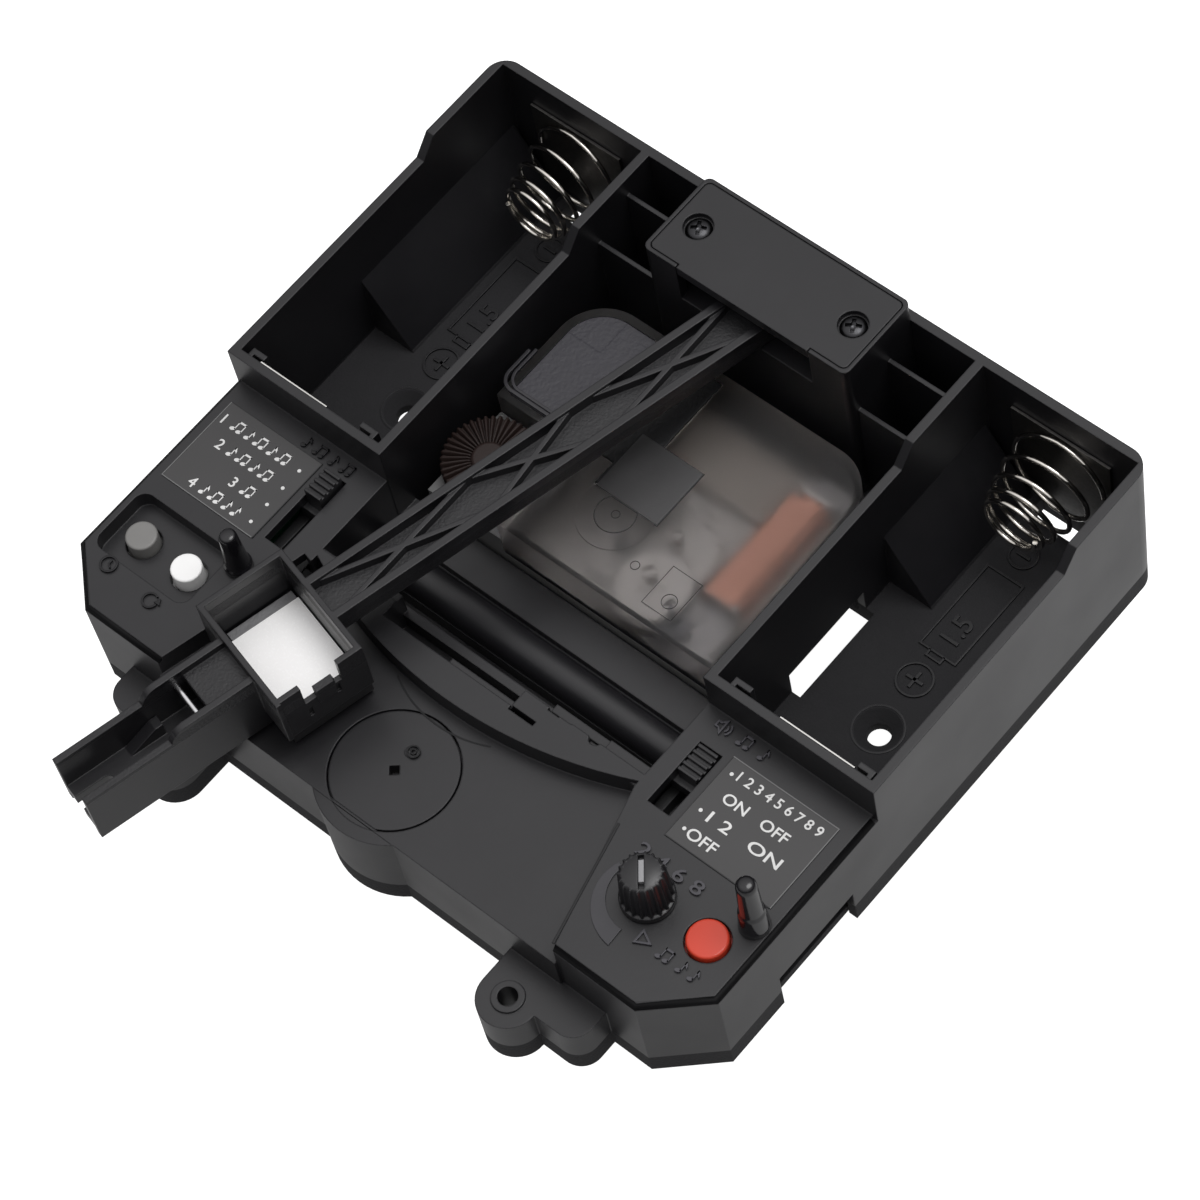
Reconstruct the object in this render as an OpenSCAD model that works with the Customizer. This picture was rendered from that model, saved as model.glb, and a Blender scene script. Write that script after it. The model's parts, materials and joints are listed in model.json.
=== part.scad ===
// Quartz pendulum clock movement, drawn lying on its front.
// The hand shaft is the Z axis and z = 0 is the face that seats against the dial.
// +Z is the back with the batteries and +Y is the top of the clock.

/* [Case] */
// Width of the case, mm
case_w = 124; // [118:1:160]
// Top edge of the case above the hand shaft, mm
case_top = 48; // [46:1:60]
// Wall thickness of the moulding, mm
wall = 1.5; // [1.2:0.1:2]
// Height of the control panels over the seating face, mm
panel_z = 20.7; // [20:0.1:25]
// High rim of the battery boxes, mm
rim_high = 31.6; // [30:0.2:40]
// Low rim of the battery boxes, mm
rim_low = 28.2; // [26:0.2:31]
// Half width of the bay between the battery boxes, mm
bay_half = 31.1; // [30:0.1:34]
// Top of the battery bay floor, mm
bay_floor = 3.5; // [3:0.1:5]

/* [Pendulum] */
// Angle of the arm from straight down in the rest pose, degrees
swing_rest = 14.2; // [0:0.1:15]
// Radius of the suspension pin, mm
pin_r = 1.5; // [1.2:0.1:2]
// Half width over the two rails of the arm, mm
arm_half = 4.2; // [3.8:0.1:5]
// Half width of the open box of the arm, mm
box_half = 10.6; // [9:0.1:10.8]
// Length of the open box along the arm, mm
box_len = 15; // [13:0.5:16]
// Diameter of the wire of the cross pin in the hook, mm
hook_pin_d = 1; // [0.8:0.1:1.4]

/* [Hand shafts] */
// Thread radius of the dial bush, mm
bush_r = 4; // [3.8:0.1:5]
// How far the dial bush stands out in front, mm
bush_out = 7; // [5:0.5:12]
// Outside radius of the hour tube, mm
hour_r = 2.5; // [2.2:0.05:2.8]
// Radius of the minute shaft, mm
minute_r = 1.5; // [1:0.05:1.7]
// Radial clearance of a shaft turning in its bore, mm
run_fit = 0.06; // [0.03:0.01:0.1]

/* [Gears] */
// Module of the motion work, mm
motion_mod = 0.34; // [0.34:0.01:0.4]
// Module of the going train, mm
train_mod = 0.2; // [0.16:0.01:0.2]
// Thickness of the train wheels, mm
wheel_t = 0.6; // [0.5:0.1:0.8]

/* [Battery contacts] */
// Turns of a battery spring
spring_turns = 5; // [3:1:7]
// Wire diameter of a battery spring, mm
spring_d = 1; // [0.8:0.1:1.2]
// Large radius of a battery spring, mm
spring_r = 8; // [6:0.5:10]
// Small radius of a battery spring, mm
spring_tip_r = 4.5; // [3.5:0.5:6]

/* [Controls] */
// Radius of the two round keys in the recess, mm
key_r = 2.5; // [2:0.1:2.8]
// Radial clearance round a key or knob, mm
key_gap = 0.35; // [0.3:0.05:0.6]
// Travel of a key, mm
key_travel = 0.8; // [0.5:0.1:1]
// Radius of the volume knob at its base, mm
volume_r = 4.1; // [3.5:0.1:5]

/* [Hidden] */
// Piece to draw
$fn = 48;

half_w = case_w / 2;
case_low = -58.9;
deck_z = 16.8;
deck_low = -59.4;
box_y = -15.9;
corner_r = 3.5;
skin = 1.8;
chamfer_y = -51;
chamfer_x = half_w - 8.5;
gap = 0.3;

// Suspension, arm and the part of the deck it swings over
pivot_y = case_top - 9.2;
coil_y = -50.2;
box_mid = pivot_y - coil_y - 0.2;
box_near = box_mid - box_len / 2;
box_far = box_mid + box_len / 2;
lens_r = box_near - 4.3;
lane_angle = 15.25;
lane_half = box_half + 0.8;
plate_z = 22.4;
lid_top = rim_high + 4;
lid_z = lid_top - skin;
rail_top = rim_high + 0.2;
rail_low = rail_top - 4;
shelf_z = rail_low - 0.6;
lid_rim = 0.6;
tower_half = 19.3;
tower_low = case_top - 16.3;
tower_high = case_top - 1;

// Lower section
cover_t = 1.6;
board_low = 9.6;
board_top = 11.2;
slot_l = [-39.6, -35.9, -34, -19.9];
slot_r = [34.2, 38.3, -33.2, -21.5];
recess = [-(half_w - 1.5), -41.5, -50.1, -38.8];
recess_z = panel_z - 3;
coil_r = 9.65;
boss_r = 12.1;
key_spots = [[-(half_w - 6.6), -44.6], [-(half_w - 15.9), -44.6]];
monitor_spot = [half_w - 7, -44.8];
monitor_r = 3.1;
volume_spot = [44.1, -44.8];
cover_spots = [[half_w - 5.5, -20.5], [half_w - 13, -53.9]];
speaker_spot = [40, -38];
speaker_r = 13.5;

// Clock module
mod_x = 28;
mod_low = -11.6;
mod_high = 28;
mod_z = 20.4;
mod_wall = 1.2;
base_z = 12;
mid_z = 7;
set_spot = [-22.5, -3.2];
set_wheel_r = 7.4;
set_block = [-mod_x, -13.4, mod_low, 5.2];
set_block_z = 15.6;

// Wheels: teeth and places
hour_mod = motion_mod * 1.28;
transfer_d = (16 + 48) * motion_mod / 2;
setting_teeth = 22;
setting_d = (setting_teeth + 48) * motion_mod / 2;
transfer_spot = triangle(set_spot, setting_d, [0, 0], transfer_d);
centre_mod = train_mod * 1.2;
third_spot = 30 * centre_mod * [cos(70), sin(70)];
rotor_spot = [15.9, -6.6];
first_spot = rotor_spot + 34 * train_mod * [-cos(23.4), sin(23.4)];
second_spot = triangle(third_spot, 36 * train_mod, first_spot, 35 * train_mod);
arbor_r = 0.4;
// The hand shafts and the bush are slimmer behind the part that shows
bush_in = bush_r - 0.2;
hour_in = hour_r - 0.2;
minute_in = minute_r - 0.2;

// Colours
c_case = [0.13, 0.13, 0.14];
c_grey = [0.62, 0.62, 0.60];
c_steel = [0.78, 0.78, 0.80];
c_brass = [0.80, 0.66, 0.32];
c_copper = [0.72, 0.38, 0.20];
c_board = [0.10, 0.36, 0.20];
c_white = [0.93, 0.93, 0.93];
c_nylon = [0.88, 0.86, 0.80];

// Point at distance ra from a and rb from b, left of the line from a to b
function triangle(a, ra, b, rb) =
    let (d = norm(b - a))
    let (along = (ra * ra - rb * rb + d * d) / (2 * d))
    let (side = sqrt(max(0, ra * ra - along * along)))
    let (u = (b - a) / d)
    a + along * u + side * [-u[1], u[0]];

function direction(a, b) = atan2(b[1] - a[1], b[0] - a[0]);

// Phase of the second gear so that its gap faces the tooth of the first
function mate_phase(phase, teeth, angle, mate) =
    angle + 180 - ((phase - angle) * teeth - 180) / mate;

// Inner edge of a control panel: a straight line beside the arm's widest swing
function lane_x(y) = (pivot_y - y) * tan(lane_angle) + lane_half / cos(lane_angle);

module block(x0, x1, y0, y1, z0, z1) {
    translate([x0, y0, z0]) cube([x1 - x0, y1 - y0, z1 - z0]);
}

module post(spot, r, z0, z1) {
    translate([spot[0], spot[1], z0]) cylinder(r = r, h = z1 - z0);
}

module tube(spot, r, bore, z0, z1) {
    difference() {
        post(spot, r, z0, z1);
        post(spot, bore, z0 - 1, z1 + 1);
    }
}

module both() {
    children();
    mirror([1, 0, 0]) children();
}

module rounded(x0, x1, y0, y1, r) {
    translate([x0 + r, y0]) square([x1 - x0 - 2 * r, y1 - y0]);
    translate([x0, y0 + r]) square([x1 - x0, y1 - y0 - 2 * r]);
    for (x = [x0 + r, x1 - r], y = [y0 + r, y1 - r]) translate([x, y]) circle(r);
}

module rounded_block(x0, x1, y0, y1, r, z0, z1) {
    translate([0, 0, z0]) linear_extrude(z1 - z0) rounded(x0, x1, y0, y1, r);
}

// Straight bar in the plane, from a to b
module bar(a, b, w, z0, z1) {
    d = norm(b - a);
    translate([a[0], a[1], z0]) rotate([0, 0, direction(a, b)])
        translate([0, -w / 2, 0]) cube([d, w, z1 - z0]);
}

module case_outline(t) {
    r = corner_r - t;
    polygon([[-half_w + t, chamfer_y + t * 0.44], [-chamfer_x + t * 0.4, case_low + t],
        [chamfer_x - t * 0.4, case_low + t], [half_w - t, chamfer_y + t * 0.44],
        [half_w - t, case_top - t - r], [-half_w + t, case_top - t - r]]);
    translate([-half_w + t + r, 0]) square([2 * (half_w - t - r), case_top - t]);
    both() translate([half_w - t - r, case_top - t - r]) circle(r);
}

// Thin spur wheel; one tooth points along phase
module gear(spot, teeth, mod, phase, z0, t, bore) {
    pitch = teeth * mod / 2;
    root = pitch - 1.3 * mod;
    tip = pitch + 0.8 * mod;
    step = 360 / teeth;
    translate([spot[0], spot[1], z0]) linear_extrude(t) difference() {
        polygon([for (i = [0 : teeth - 1], k = [-2, -1, 1, 2])
            let (r = abs(k) == 2 ? root : tip)
            let (a = phase + i * step + sign(k) * step * (abs(k) == 2 ? 0.23 : 0.09))
            r * [cos(a), sin(a)]]);
        circle(bore);
    }
}

module arbor(spot, z0, z1) {
    post(spot, arbor_r, z0, z1);
}

// Case moulding
// Wedge that lifts the battery off the bay floor, its upright side at x
module cradle(x, side, low) {
    translate([x, case_top - 2.3, bay_floor - 0.5]) rotate([90, 0, 0])
        linear_extrude(case_top - 2.3 - low)
            polygon([[-0.5 * side, 0], [8 * side, 0], [8 * side, 0.5], [0, 13.7],
                [-0.5 * side, 13.7]]);
}

// Hooks on the end wall of the bay that hold the battery contact
module contact_hooks() {
    y = box_y + wall;
    block(34.4, 35.2, y - 0.5, y + 1.8, 12, 27);
    block(34.4, 37.6, y + 0.9, y + 1.8, 12, 27);
    block(59, 59.8, y - 0.5, y + 1.8, 12, 27);
    block(57, 59.8, y + 0.9, y + 1.8, 12, 27);
}

module battery_box() {
    inner = bay_half + wall;
    contact_hooks();
    difference() {
        intersection() {
            linear_extrude(rim_high) case_outline(0);
            block(bay_half, half_w, box_y, case_top, 0, rim_high);
        }
        block(inner, half_w - wall, box_y + wall, case_top - wall, bay_floor, rim_high + 1);
        translate([bay_half - 1, 0, 0]) rotate([90, 0, 90]) linear_extrude(half_w)
            polygon([[box_y - 1, rim_low], [case_top - 20.8, rim_low],
                [case_top - 17.7, rim_high], [case_top - 17.7, rim_high + 1],
                [box_y - 1, rim_high + 1]]);
        for (i = [0 : 1], j = [0 : 3])
            block(inner + 1 + i * (half_w - inner - 1) / 2,
                inner - 1 + (i + 1) * (half_w - inner - 1) / 2,
                11 + j * 8.4, 17.4 + j * 8.4, -1, bay_floor - skin);
        block(inner + 9.3, half_w - 11, case_top - 5.2, case_top - wall, -1, bay_floor + 1);
        translate([46.6, 1.4, -1]) cylinder(r = 1.85, h = 6);
        translate([46.6, 1.4, bay_floor - skin]) cylinder(r1 = 1.85, r2 = 3.65, h = skin);
    }
}

module tower() {
    difference() {
        rounded_block(-tower_half, tower_half, tower_low, tower_high, 1.2, 0, lid_top);
        block(-tower_half + wall, tower_half - wall, tower_low + wall, tower_high - wall,
            shelf_z, lid_top + 1);
        rounded_block(-tower_half + lid_rim, tower_half - lid_rim, tower_low + lid_rim,
            tower_high - lid_rim, 1, lid_z, lid_top + 1);
        block(-12.9, 12.3, tower_low - 1, tower_low + 2 * wall, shelf_z, lid_top + 1);
        for (cell = [[-11.6, -6.5], [-5.5, 4.5], [5.5, 10.6]])
            block(cell[0], cell[1], tower_low + wall, tower_high - wall, -1, shelf_z - skin);
        post([0, pivot_y], pin_r, shelf_z - skin - 1, shelf_z + 1);
    }
    post_ring = 2.9;
    both() intersection() {
        tube([14.7, pivot_y + 0.4], post_ring, 0.95, shelf_z, lid_z);
        block(11, tower_half - 1, tower_low + 1, tower_high - 1, shelf_z, lid_z);
    }
    difference() {
        post([0, pivot_y], 2.9, shelf_z - 0.5, shelf_z + gap);
        post([0, pivot_y], pin_r, shelf_z - 1, shelf_z + 1);
    }
}

// Control panels, deck and the lens-shaped plate, seen from above
module lane_outline(low) {
    polygon([[-lane_x(low), low], [lane_x(low), low], [bay_half + 0.1, -32.5],
        [bay_half + 0.1, -30.3], [-bay_half - 0.1, -30.3], [-bay_half - 0.1, -32.5]]);
}

module panel_outline() {
    polygon([[bay_half + 0.1, box_y], [half_w, box_y], [half_w, chamfer_y],
        [chamfer_x, case_low], [lane_x(case_low), case_low], [bay_half + 0.1, -32.5]]);
}

module lens_outline() {
    difference() {
        intersection() {
            lane_outline(-45);
            translate([0, pivot_y]) circle(lens_r, $fn = 180);
        }
        translate([-16.5, -33.3]) square([25.1, 5]);
        translate([8.5, -34]) square([4.7, 0.9]);
        translate([13.2, -30.7]) square([2.2, 1]);
        translate([15.4, -30.5]) square([2.2, 1]);
        translate([21.9, -30.1]) circle(1.1);
    }
}

module panels() {
    both() translate([0, 0, panel_z - skin]) linear_extrude(skin) panel_outline();
    // upright faces between the panels and the deck
    both() translate([0, 0, deck_z - skin]) linear_extrude(panel_z - deck_z + skin)
        polygon([[bay_half + 0.1, -30.3], [bay_half + 1.5, -30.3], [bay_half + 1.5, -32.2],
            [lane_x(case_low) + 1.4, case_low], [lane_x(case_low), case_low],
            [bay_half + 0.1, -32.5]]);
    // deck, round the lens plate
    translate([0, 0, deck_z - skin]) linear_extrude(skin) difference() {
        lane_outline(deck_low);
        translate([0, pivot_y]) circle(lens_r - wall, $fn = 180);
    }
    translate([0, 0, panel_z - skin]) linear_extrude(skin) lens_outline();
    translate([0, 0, deck_z - skin]) linear_extrude(panel_z - deck_z + 0.4) difference() {
        lens_outline();
        translate([0, pivot_y]) circle(lens_r - wall, $fn = 180);
    }
    // lower wall under the deck
    block(-lane_x(deck_low), lane_x(deck_low), deck_low, deck_low + wall, 0, deck_z);
    // button recess tray
    rounded_block(recess[0], recess[1] + 1, recess[2] - 1, recess[3] + 1, 2.5,
        recess_z - skin, panel_z - 0.5);
}

module trench() {
    span = bay_half + 0.4;
    block(-span, span, -13.5, -12, 0, 10.5);
    block(-span, span, -18.1, -12, 9, 10.5);
    block(-span, span, -24.8, -13, 7.5, 9);
    intersection() {
        translate([-span, -21.6, 9]) rotate([0, 90, 0]) cylinder(r = 3.05, h = 2 * span);
        block(-span, span, -26, -18, 8, 13);
    }
    block(-span, span, -24.8, -23.4, 4.4, 9);
    block(-span, span, -30, -24.8, 4.4, 6);
    block(-span, span, -30, -28.5, 4.4, 16);
    // slot in front of the lens plate
    block(-18, 14, -35.2, -28.5, 11.6, 12.8);
    block(-span, -16.5, -31.8, -30, deck_z - skin, panel_z - 0.5);
    block(-18, -16.5, -35.2, -29, 11.6, panel_z - 0.5);
    block(12.6, span, -32.2, -31, 11.6, panel_z - 1);
    block(13.2, span, -31.5, -30, 14.5, 18.4);
    block(-18, 14, -35.4, -34, 11.6, panel_z - 1);
    block(-18, 8.6, -34.5, -33.3, 11.6, panel_z - 1);
    block(-3.7, 8.6, -33.6, -32.4, panel_z - 2.2, panel_z - 0.6);
    block(8.6, 13.2, -33.2, -30.2, 11.6, panel_z);
    // upright strip that ends in a wider tongue
    block(13, span, -30, -28.6, 15.5, 18.9);
    block(23.4, span - 0.5, -30.2, -28.6, 18.4, 19.6);
    both() block(bay_half + 0.1, bay_half + 1.5, -32, box_y + 1, 4.4, panel_z - 1);
}

module lug() {
    a = [33.9, -65.5];
    b = [43.1, -61.9];
    ra = 4.8;
    rb = 3.5;
    post(a, ra, 0, 10);
    post(b, rb, 0, 10);
    block(a[0] - ra, a[0] + ra, a[1], case_low + 0.5, 0, 10);
    block(a[0], b[0], b[1] - rb, case_low + 0.5, 0, 10);
    block(a[0], b[0] + rb, b[1], case_low + 0.5, 0, 10);
    post(a, 2.5, 9, 10.4);
}

module case_body() color(c_case) difference() {
    union() {
        both() battery_box();
        both() cradle(bay_half + wall, 1, case_top - 26.3);
        cradle(half_w - wall, -1, case_top - 26.3);
        cradle(-half_w + wall, 1, case_top - 38.2);
        // floor and top wall of the centre bay
        block(-bay_half - 0.5, bay_half + 0.5, -13.5, case_top, 0, skin);
        block(-bay_half - 0.5, bay_half + 0.5, case_top - wall, case_top, 0, rim_high);
        tower();
        both() block(tower_half - 0.5, bay_half + 0.5, case_top - 7.4, case_top - 6.7, 1, 28);
        both() block(tower_half - 0.5, bay_half + 0.5, case_top - 14.8, case_top - 14.1, 1, 24.2);
        // lower section shell
        difference() {
            linear_extrude(panel_z) case_outline(0);
            block(-half_w - 1, half_w + 1, box_y + wall, case_top + 1, -1, panel_z + 1);
            translate([0, 0, -1]) linear_extrude(panel_z + 2) case_outline(wall);
            block(-lane_x(case_low), lane_x(case_low), -70, -50, -1, panel_z + 1);
        }
        both() block(bay_half, half_w - 1, box_y, box_y + wall, 0, rim_low);
        panels();
        trench();
        both() lug();
        // round housing of the drive coil
        post([0, coil_y], boss_r, 0, deck_z);
        both() for (s = cover_spots) post(s, 3, cover_t, panel_z - 1);
        // pads that press on the main board
        both() post([half_w - 25, -38.2], 1.6, board_top, panel_z - 1);
    }
    post([0, coil_y], boss_r - wall, -1, deck_z - 3);
    post([0, coil_y], coil_r - 1.3, -1, deck_z + 1);
    post([0, coil_y], coil_r + gap, deck_z - wall, deck_z + 1);
    // the coil housing opens into the section behind the deck
    block(-8, 8, coil_y + 4, coil_y + 14, -1, board_top + 1);
    both() for (s = cover_spots) post(s, 1.15, -1, 12);
    both() post([33.9, -65.5], 1.5, -1, 12);
    post([0, 0], bush_r + run_fit, -1, skin + 1);
    // slots, keys and knobs in the panels
    for (s = [slot_l, slot_r]) block(s[0], s[1], s[2], s[3], panel_z - 3, panel_z + 1);
    rounded_block(recess[0] + 0.3, recess[1], recess[2], recess[3], 2, recess_z, panel_z + 1);
    for (s = key_spots) post(s, key_r + key_gap, recess_z - 3, recess_z + 1);
    post(monitor_spot, monitor_r + key_gap, panel_z - 3, panel_z + 1);
    post(volume_spot, 3.4, panel_z - 3, panel_z + 1);
    translate([-31.9, -33.9, panel_z - 3]) rotate([0, 0, -14]) cube([2.6, 2.2, 9], center = true);
    // slot for leads through the floor beside the right bay
    block(28.9, bay_half + wall + 1.5, -1.3, 16, -1, 8.5);
    // edge of the panels set in from the outer wall
    translate([0, 0, panel_z - 0.9]) linear_extrude(4) difference() {
        translate([-half_w - 1, -70]) square([case_w + 2, 70 + box_y]);
        case_outline(0.8);
    }
    // raised lower edge of the right side wall
    block(half_w - wall - 1, half_w + 1, -39.5, -23, -1, 8);
}

// Front cover of the lower section
module front_cover() color(c_case) difference() {
    union() {
        linear_extrude(cover_t) difference() {
            union() {
                intersection() {
                    case_outline(wall + gap);
                    translate([-half_w, -70]) square([case_w, 70 + box_y - gap]);
                }
                translate([-bay_half + 1, -40]) square([2 * bay_half - 2, 26.5 - gap]);
            }
            translate([0, coil_y]) circle(boss_r + gap);
            translate([-lane_x(case_low), -70])
                square([2 * lane_x(case_low), 70 + deck_low + wall + gap]);
        }
        post([0, coil_y], boss_r - wall - gap, 0, cover_t);
        block(-8 + gap, 8 - gap, coil_y + 4, coil_y + 14, 0, cover_t);
        // posts under the main board
        both() post([20, -48.5], 1.6, cover_t, board_low);
        both() post([20, -34], 1.6, cover_t, board_low);
        both() post([half_w - 5, -36], 1.6, cover_t, board_low);
        tube(speaker_spot, speaker_r + 1.4, speaker_r + gap, cover_t - 0.5, 4.2);
    }
    both() for (s = cover_spots) post(s, 1.25, -1, 4);
    both() for (s = cover_spots) post(s, 2.6, -1, 0.9);
    post(speaker_spot, 0.9, -1, 4);
    for (ring = [1 : 3], k = [0 : ring * 6 - 1])
        post(speaker_spot + ring * 3.1 * [cos(k * 60 / ring), sin(k * 60 / ring)], 0.9, -1, 4);
}

module cover_screws() color(c_steel)
    both() for (s = cover_spots) difference() {
        union() {
            post(s, 2.3, 0.1, 0.9);
            post(s, 1.1, 0.5, 11);
        }
        for (a = [0, 90]) translate([s[0], s[1], 0]) rotate([0, 0, a])
            cube([2.6, 0.5, 0.9], center = true);
    }

// Suspension
module suspension_cover() color(c_case) difference() {
    union() {
        rounded_block(-tower_half + lid_rim + 0.15, tower_half - lid_rim - 0.15,
            tower_low + lid_rim + 0.15, tower_high - lid_rim - 0.15, 0.9, lid_z, lid_top);
        block(-12.7, 12.1, tower_low, tower_low + 4, lid_z, lid_top);
        post([0, pivot_y], 2.9, rail_top + gap, lid_top - 0.4);
    }
    both() post([14.7, pivot_y + 0.4], 1.25, lid_z - 1, lid_top + 1);
    both() post([14.7, pivot_y + 0.4], 2.35, lid_top - 1, lid_top + 1);
    post([0, pivot_y], pin_r + 0.03, rail_top, lid_z + 0.6);
}

module lid_screws() color(c_steel)
    both() difference() {
        union() {
            post([14.7, pivot_y + 0.4], 2.1, lid_top - 1, lid_top - 0.15);
            post([14.7, pivot_y + 0.4], 0.9, lid_z - 5, lid_top - 0.5);
        }
        for (a = [30, 120]) translate([14.7, pivot_y + 0.4, lid_top]) rotate([0, 0, a])
            cube([2.6, 0.55, 1.2], center = true);
    }

module suspension_pin() color(c_steel) post([0, pivot_y], pin_r, shelf_z - skin, lid_z + 0.5);

// Everything on the arm is drawn hanging straight down from the pivot, then swung
module on_arm() {
    translate([0, pivot_y, 0]) rotate([0, 0, -swing_rest]) children();
}

module arm_cross(a, b, z0, z1) {
    w = arm_half - 1;
    bar([-w, -a], [w, -b], 0.8, z0, z1);
    bar([w, -a], [-w, -b], 0.8, z0, z1);
}

module hook_channel() {
    half = 4.6;
    knee = box_far + 11.6;
    tip = box_far + 29.4;
    bend = 3.1;
    wall_low = 18;
    floor_low = 20;
    both() block(half - 1.1, half, -knee, -box_far + 1, wall_low, rail_top - 1);
    both() block(half - 1.1, half, -tip, -knee + 0.1, wall_low, rail_top - bend);
    // quarter round shoulders
    both() intersection() {
        translate([half - 1.1, -knee, rail_top - 1 - bend]) rotate([0, 90, 0])
            cylinder(r = bend, h = 1.1);
        block(half - 1.1, half, -knee - bend - 0.1, -knee, rail_top - 1 - bend, rail_top - 1);
    }
    difference() {
        block(-half + 0.1, half - 0.1, -tip, -box_far + 1, floor_low, floor_low + 2);
        block(-1.2, 1.2, -tip - 1, -tip + 5, floor_low - 1, floor_low + 3);
        post([0, -tip + 5], 1.2, floor_low - 1, floor_low + 3);
    }
    // pad behind the cross pin
    block(-half + 0.1, half - 0.1, -box_far - 7.3, -box_far + 0.5, rail_top - 4, rail_top - 2.3);
    // ramps on the floor
    both() translate([1.5, -box_far - 19.6, floor_low + 1.9]) rotate([90, 0, 90])
        linear_extrude(1.9) polygon([[0, 0], [6.3, 0], [6.3, 2.6], [5, 2.6]]);
}

module pendulum_arm() color(c_case) on_arm() difference() {
    union() {
        post([0, 0], arm_half, rail_low, rail_top);
        both() block(arm_half - 1.3, arm_half, -box_near - 0.5, 0, rail_low, rail_top);
        block(-arm_half + 1, arm_half - 1, -box_near - 0.5, -3, rail_low + 0.6, rail_low + 1.8);
        arm_cross(7.2, 31.2, rail_low + 1.5, rail_top - 0.6);
        arm_cross(35.6, 52.8, rail_low + 1.5, rail_top - 0.6);
        arm_cross(54.2, box_near - 1.6, rail_low + 1.5, rail_top - 0.6);
        // open box with the magnet pocket under it
        difference() {
            union() {
                block(-box_half, box_half, -box_far, -box_near, plate_z - 0.9, rail_top);
                block(-box_half, box_half - 1.2, -box_far + 1.2, -box_near, deck_z + 0.8, plate_z);
            }
            block(-box_half + 0.9, box_half - 0.9, -box_far + 0.9, -box_near - 0.9, plate_z,
                rail_top + 1);
            block(-box_half + 0.9, box_half - 2.1, -box_far + 2.1, -box_near - 0.9, deck_z + 1.7,
                plate_z + 1);
            // notches and slits of the side wall: start, end and lower edge
            for (n = [[4.3, 5.5, 27.6], [5.5, 8.7, 29.2], [8.7, 10.7, 27.4]])
                block(box_half - 2, box_half + 1, -box_near - n[1], -box_near - n[0], n[2],
                    rail_top + 1);
            for (n = [[4.9, 5.6, 24.9], [9.9, 10.6, 23.6]])
                block(box_half - 0.5, box_half + 1, -box_near - n[1], -box_near - n[0], n[2],
                    n[2] + 2.2);
        }
        block(box_half - 0.5, box_half + 0.35, -box_near - 8.7, -box_near - 5.7, 26, 29.2);
        // outer corner rib
        block(box_half - 0.9, box_half + 0.3, -box_far, -box_far + 0.8, plate_z - 0.9, rail_top);
        hook_channel();
    }
    post([0, 0], pin_r + run_fit, rail_low - 1, rail_top + 1);
    translate([-4.1, -box_far - 8.8, rail_top - 3.8]) rotate([0, 90, 0])
        cylinder(r = hook_pin_d / 2 + 0.03, h = 8.2);
}

module pendulum_magnet() color([0.27, 0.27, 0.28]) on_arm()
    block(-box_half + 1.2, box_half - 2.4, -box_far + 2.4, -box_near - 1.2, deck_z + 1.7, plate_z);

module magnet_plate() color(c_steel) on_arm() {
    block(-7.4, box_half - 1.1, -box_far + 1.1, -box_near - 1.1, plate_z, plate_z + 0.7);
}

module hook_pin() color(c_steel) on_arm()
    translate([-4, -box_far - 8.8, rail_top - 3.8]) rotate([0, 90, 0])
        cylinder(r = hook_pin_d / 2, h = 8);

// Battery contacts
bay_x = 46.6;
bay_z = 16;

module spring_plates() color(c_steel) both()
    block(bay_x - 9, bay_x + 9, case_top - 2, case_top - 1.6, bay_z - 10, bay_z + 9.6);

// Rings of a round wire that leaves the plate square, bends into the coil and winds down it
function spring_radius(a) = spring_r + (spring_tip_r - spring_r) * a / (360 * spring_turns);
spring_pitch = 2.1;
lead = 2.6;
function spring_ring(centre, u, v) = [for (k = [0 : 5])
    centre + spring_d / 2 * (cos(k * 60) * u + sin(k * 60) * v)];
function around(a) = [cos(a), 0, sin(a)];
function along(a) = [-sin(a), 0, cos(a)];
spring_steps = spring_turns * 8;
spring_rings = concat(
    [spring_ring(spring_r * around(0), around(0), along(0)),
     spring_ring(spring_r * around(0) - [0, spring_d, 0], around(0), along(0))],
    [for (b = [30, 60])
        let (p = spring_r * around(0) - [0, spring_d, 0]
            + (1 - cos(b)) * 1.4 * along(0) - [0, sin(b) * 1.4, 0])
        spring_ring(p, around(0), cos(b) * along(0) + [0, sin(b), 0])],
    [for (i = [0 : spring_steps])
        let (a = 14 + i * 45)
        spring_ring(spring_radius(a - 14) * around(a) - [0, lead + spring_pitch * i / 8, 0],
            around(a), [0, 1, 0])]
);
spring_points = [for (ring = spring_rings, p = ring) p];
spring_last = len(spring_rings) - 1;
spring_faces = concat(
    [for (i = [0 : spring_last - 1], k = [0 : 5])
        let (m = (k + 1) % 6)
        [6 * i + k, 6 * i + m, 6 * i + 6 + k]],
    [for (i = [0 : spring_last - 1], k = [0 : 5])
        let (m = (k + 1) % 6)
        [6 * i + m, 6 * i + 6 + m, 6 * i + 6 + k]],
    [for (k = [1 : 4]) [0, k + 1, k]],
    [for (k = [1 : 4]) 6 * spring_last * [1, 1, 1] + [0, k, k + 1]]
);
spring_mid = [for (i = [0 : spring_steps])
    spring_radius(i * 45) * around(i * 45) - [0, spring_pitch * i / 8, 0]];
spring_gap = min([for (i = [0 : spring_steps], j = [0 : spring_steps])
    if (j - i > 4) norm(spring_mid[i] - spring_mid[j])]) - spring_d;
echo(battery_spring_gap_mm = spring_gap);

module battery_spring() color(c_steel)
    translate([bay_x, case_top - 2.05, bay_z]) polyhedron(spring_points, spring_faces);

module battery_spring_right() battery_spring();
module battery_spring_left() mirror([1, 0, 0]) battery_spring();

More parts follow.
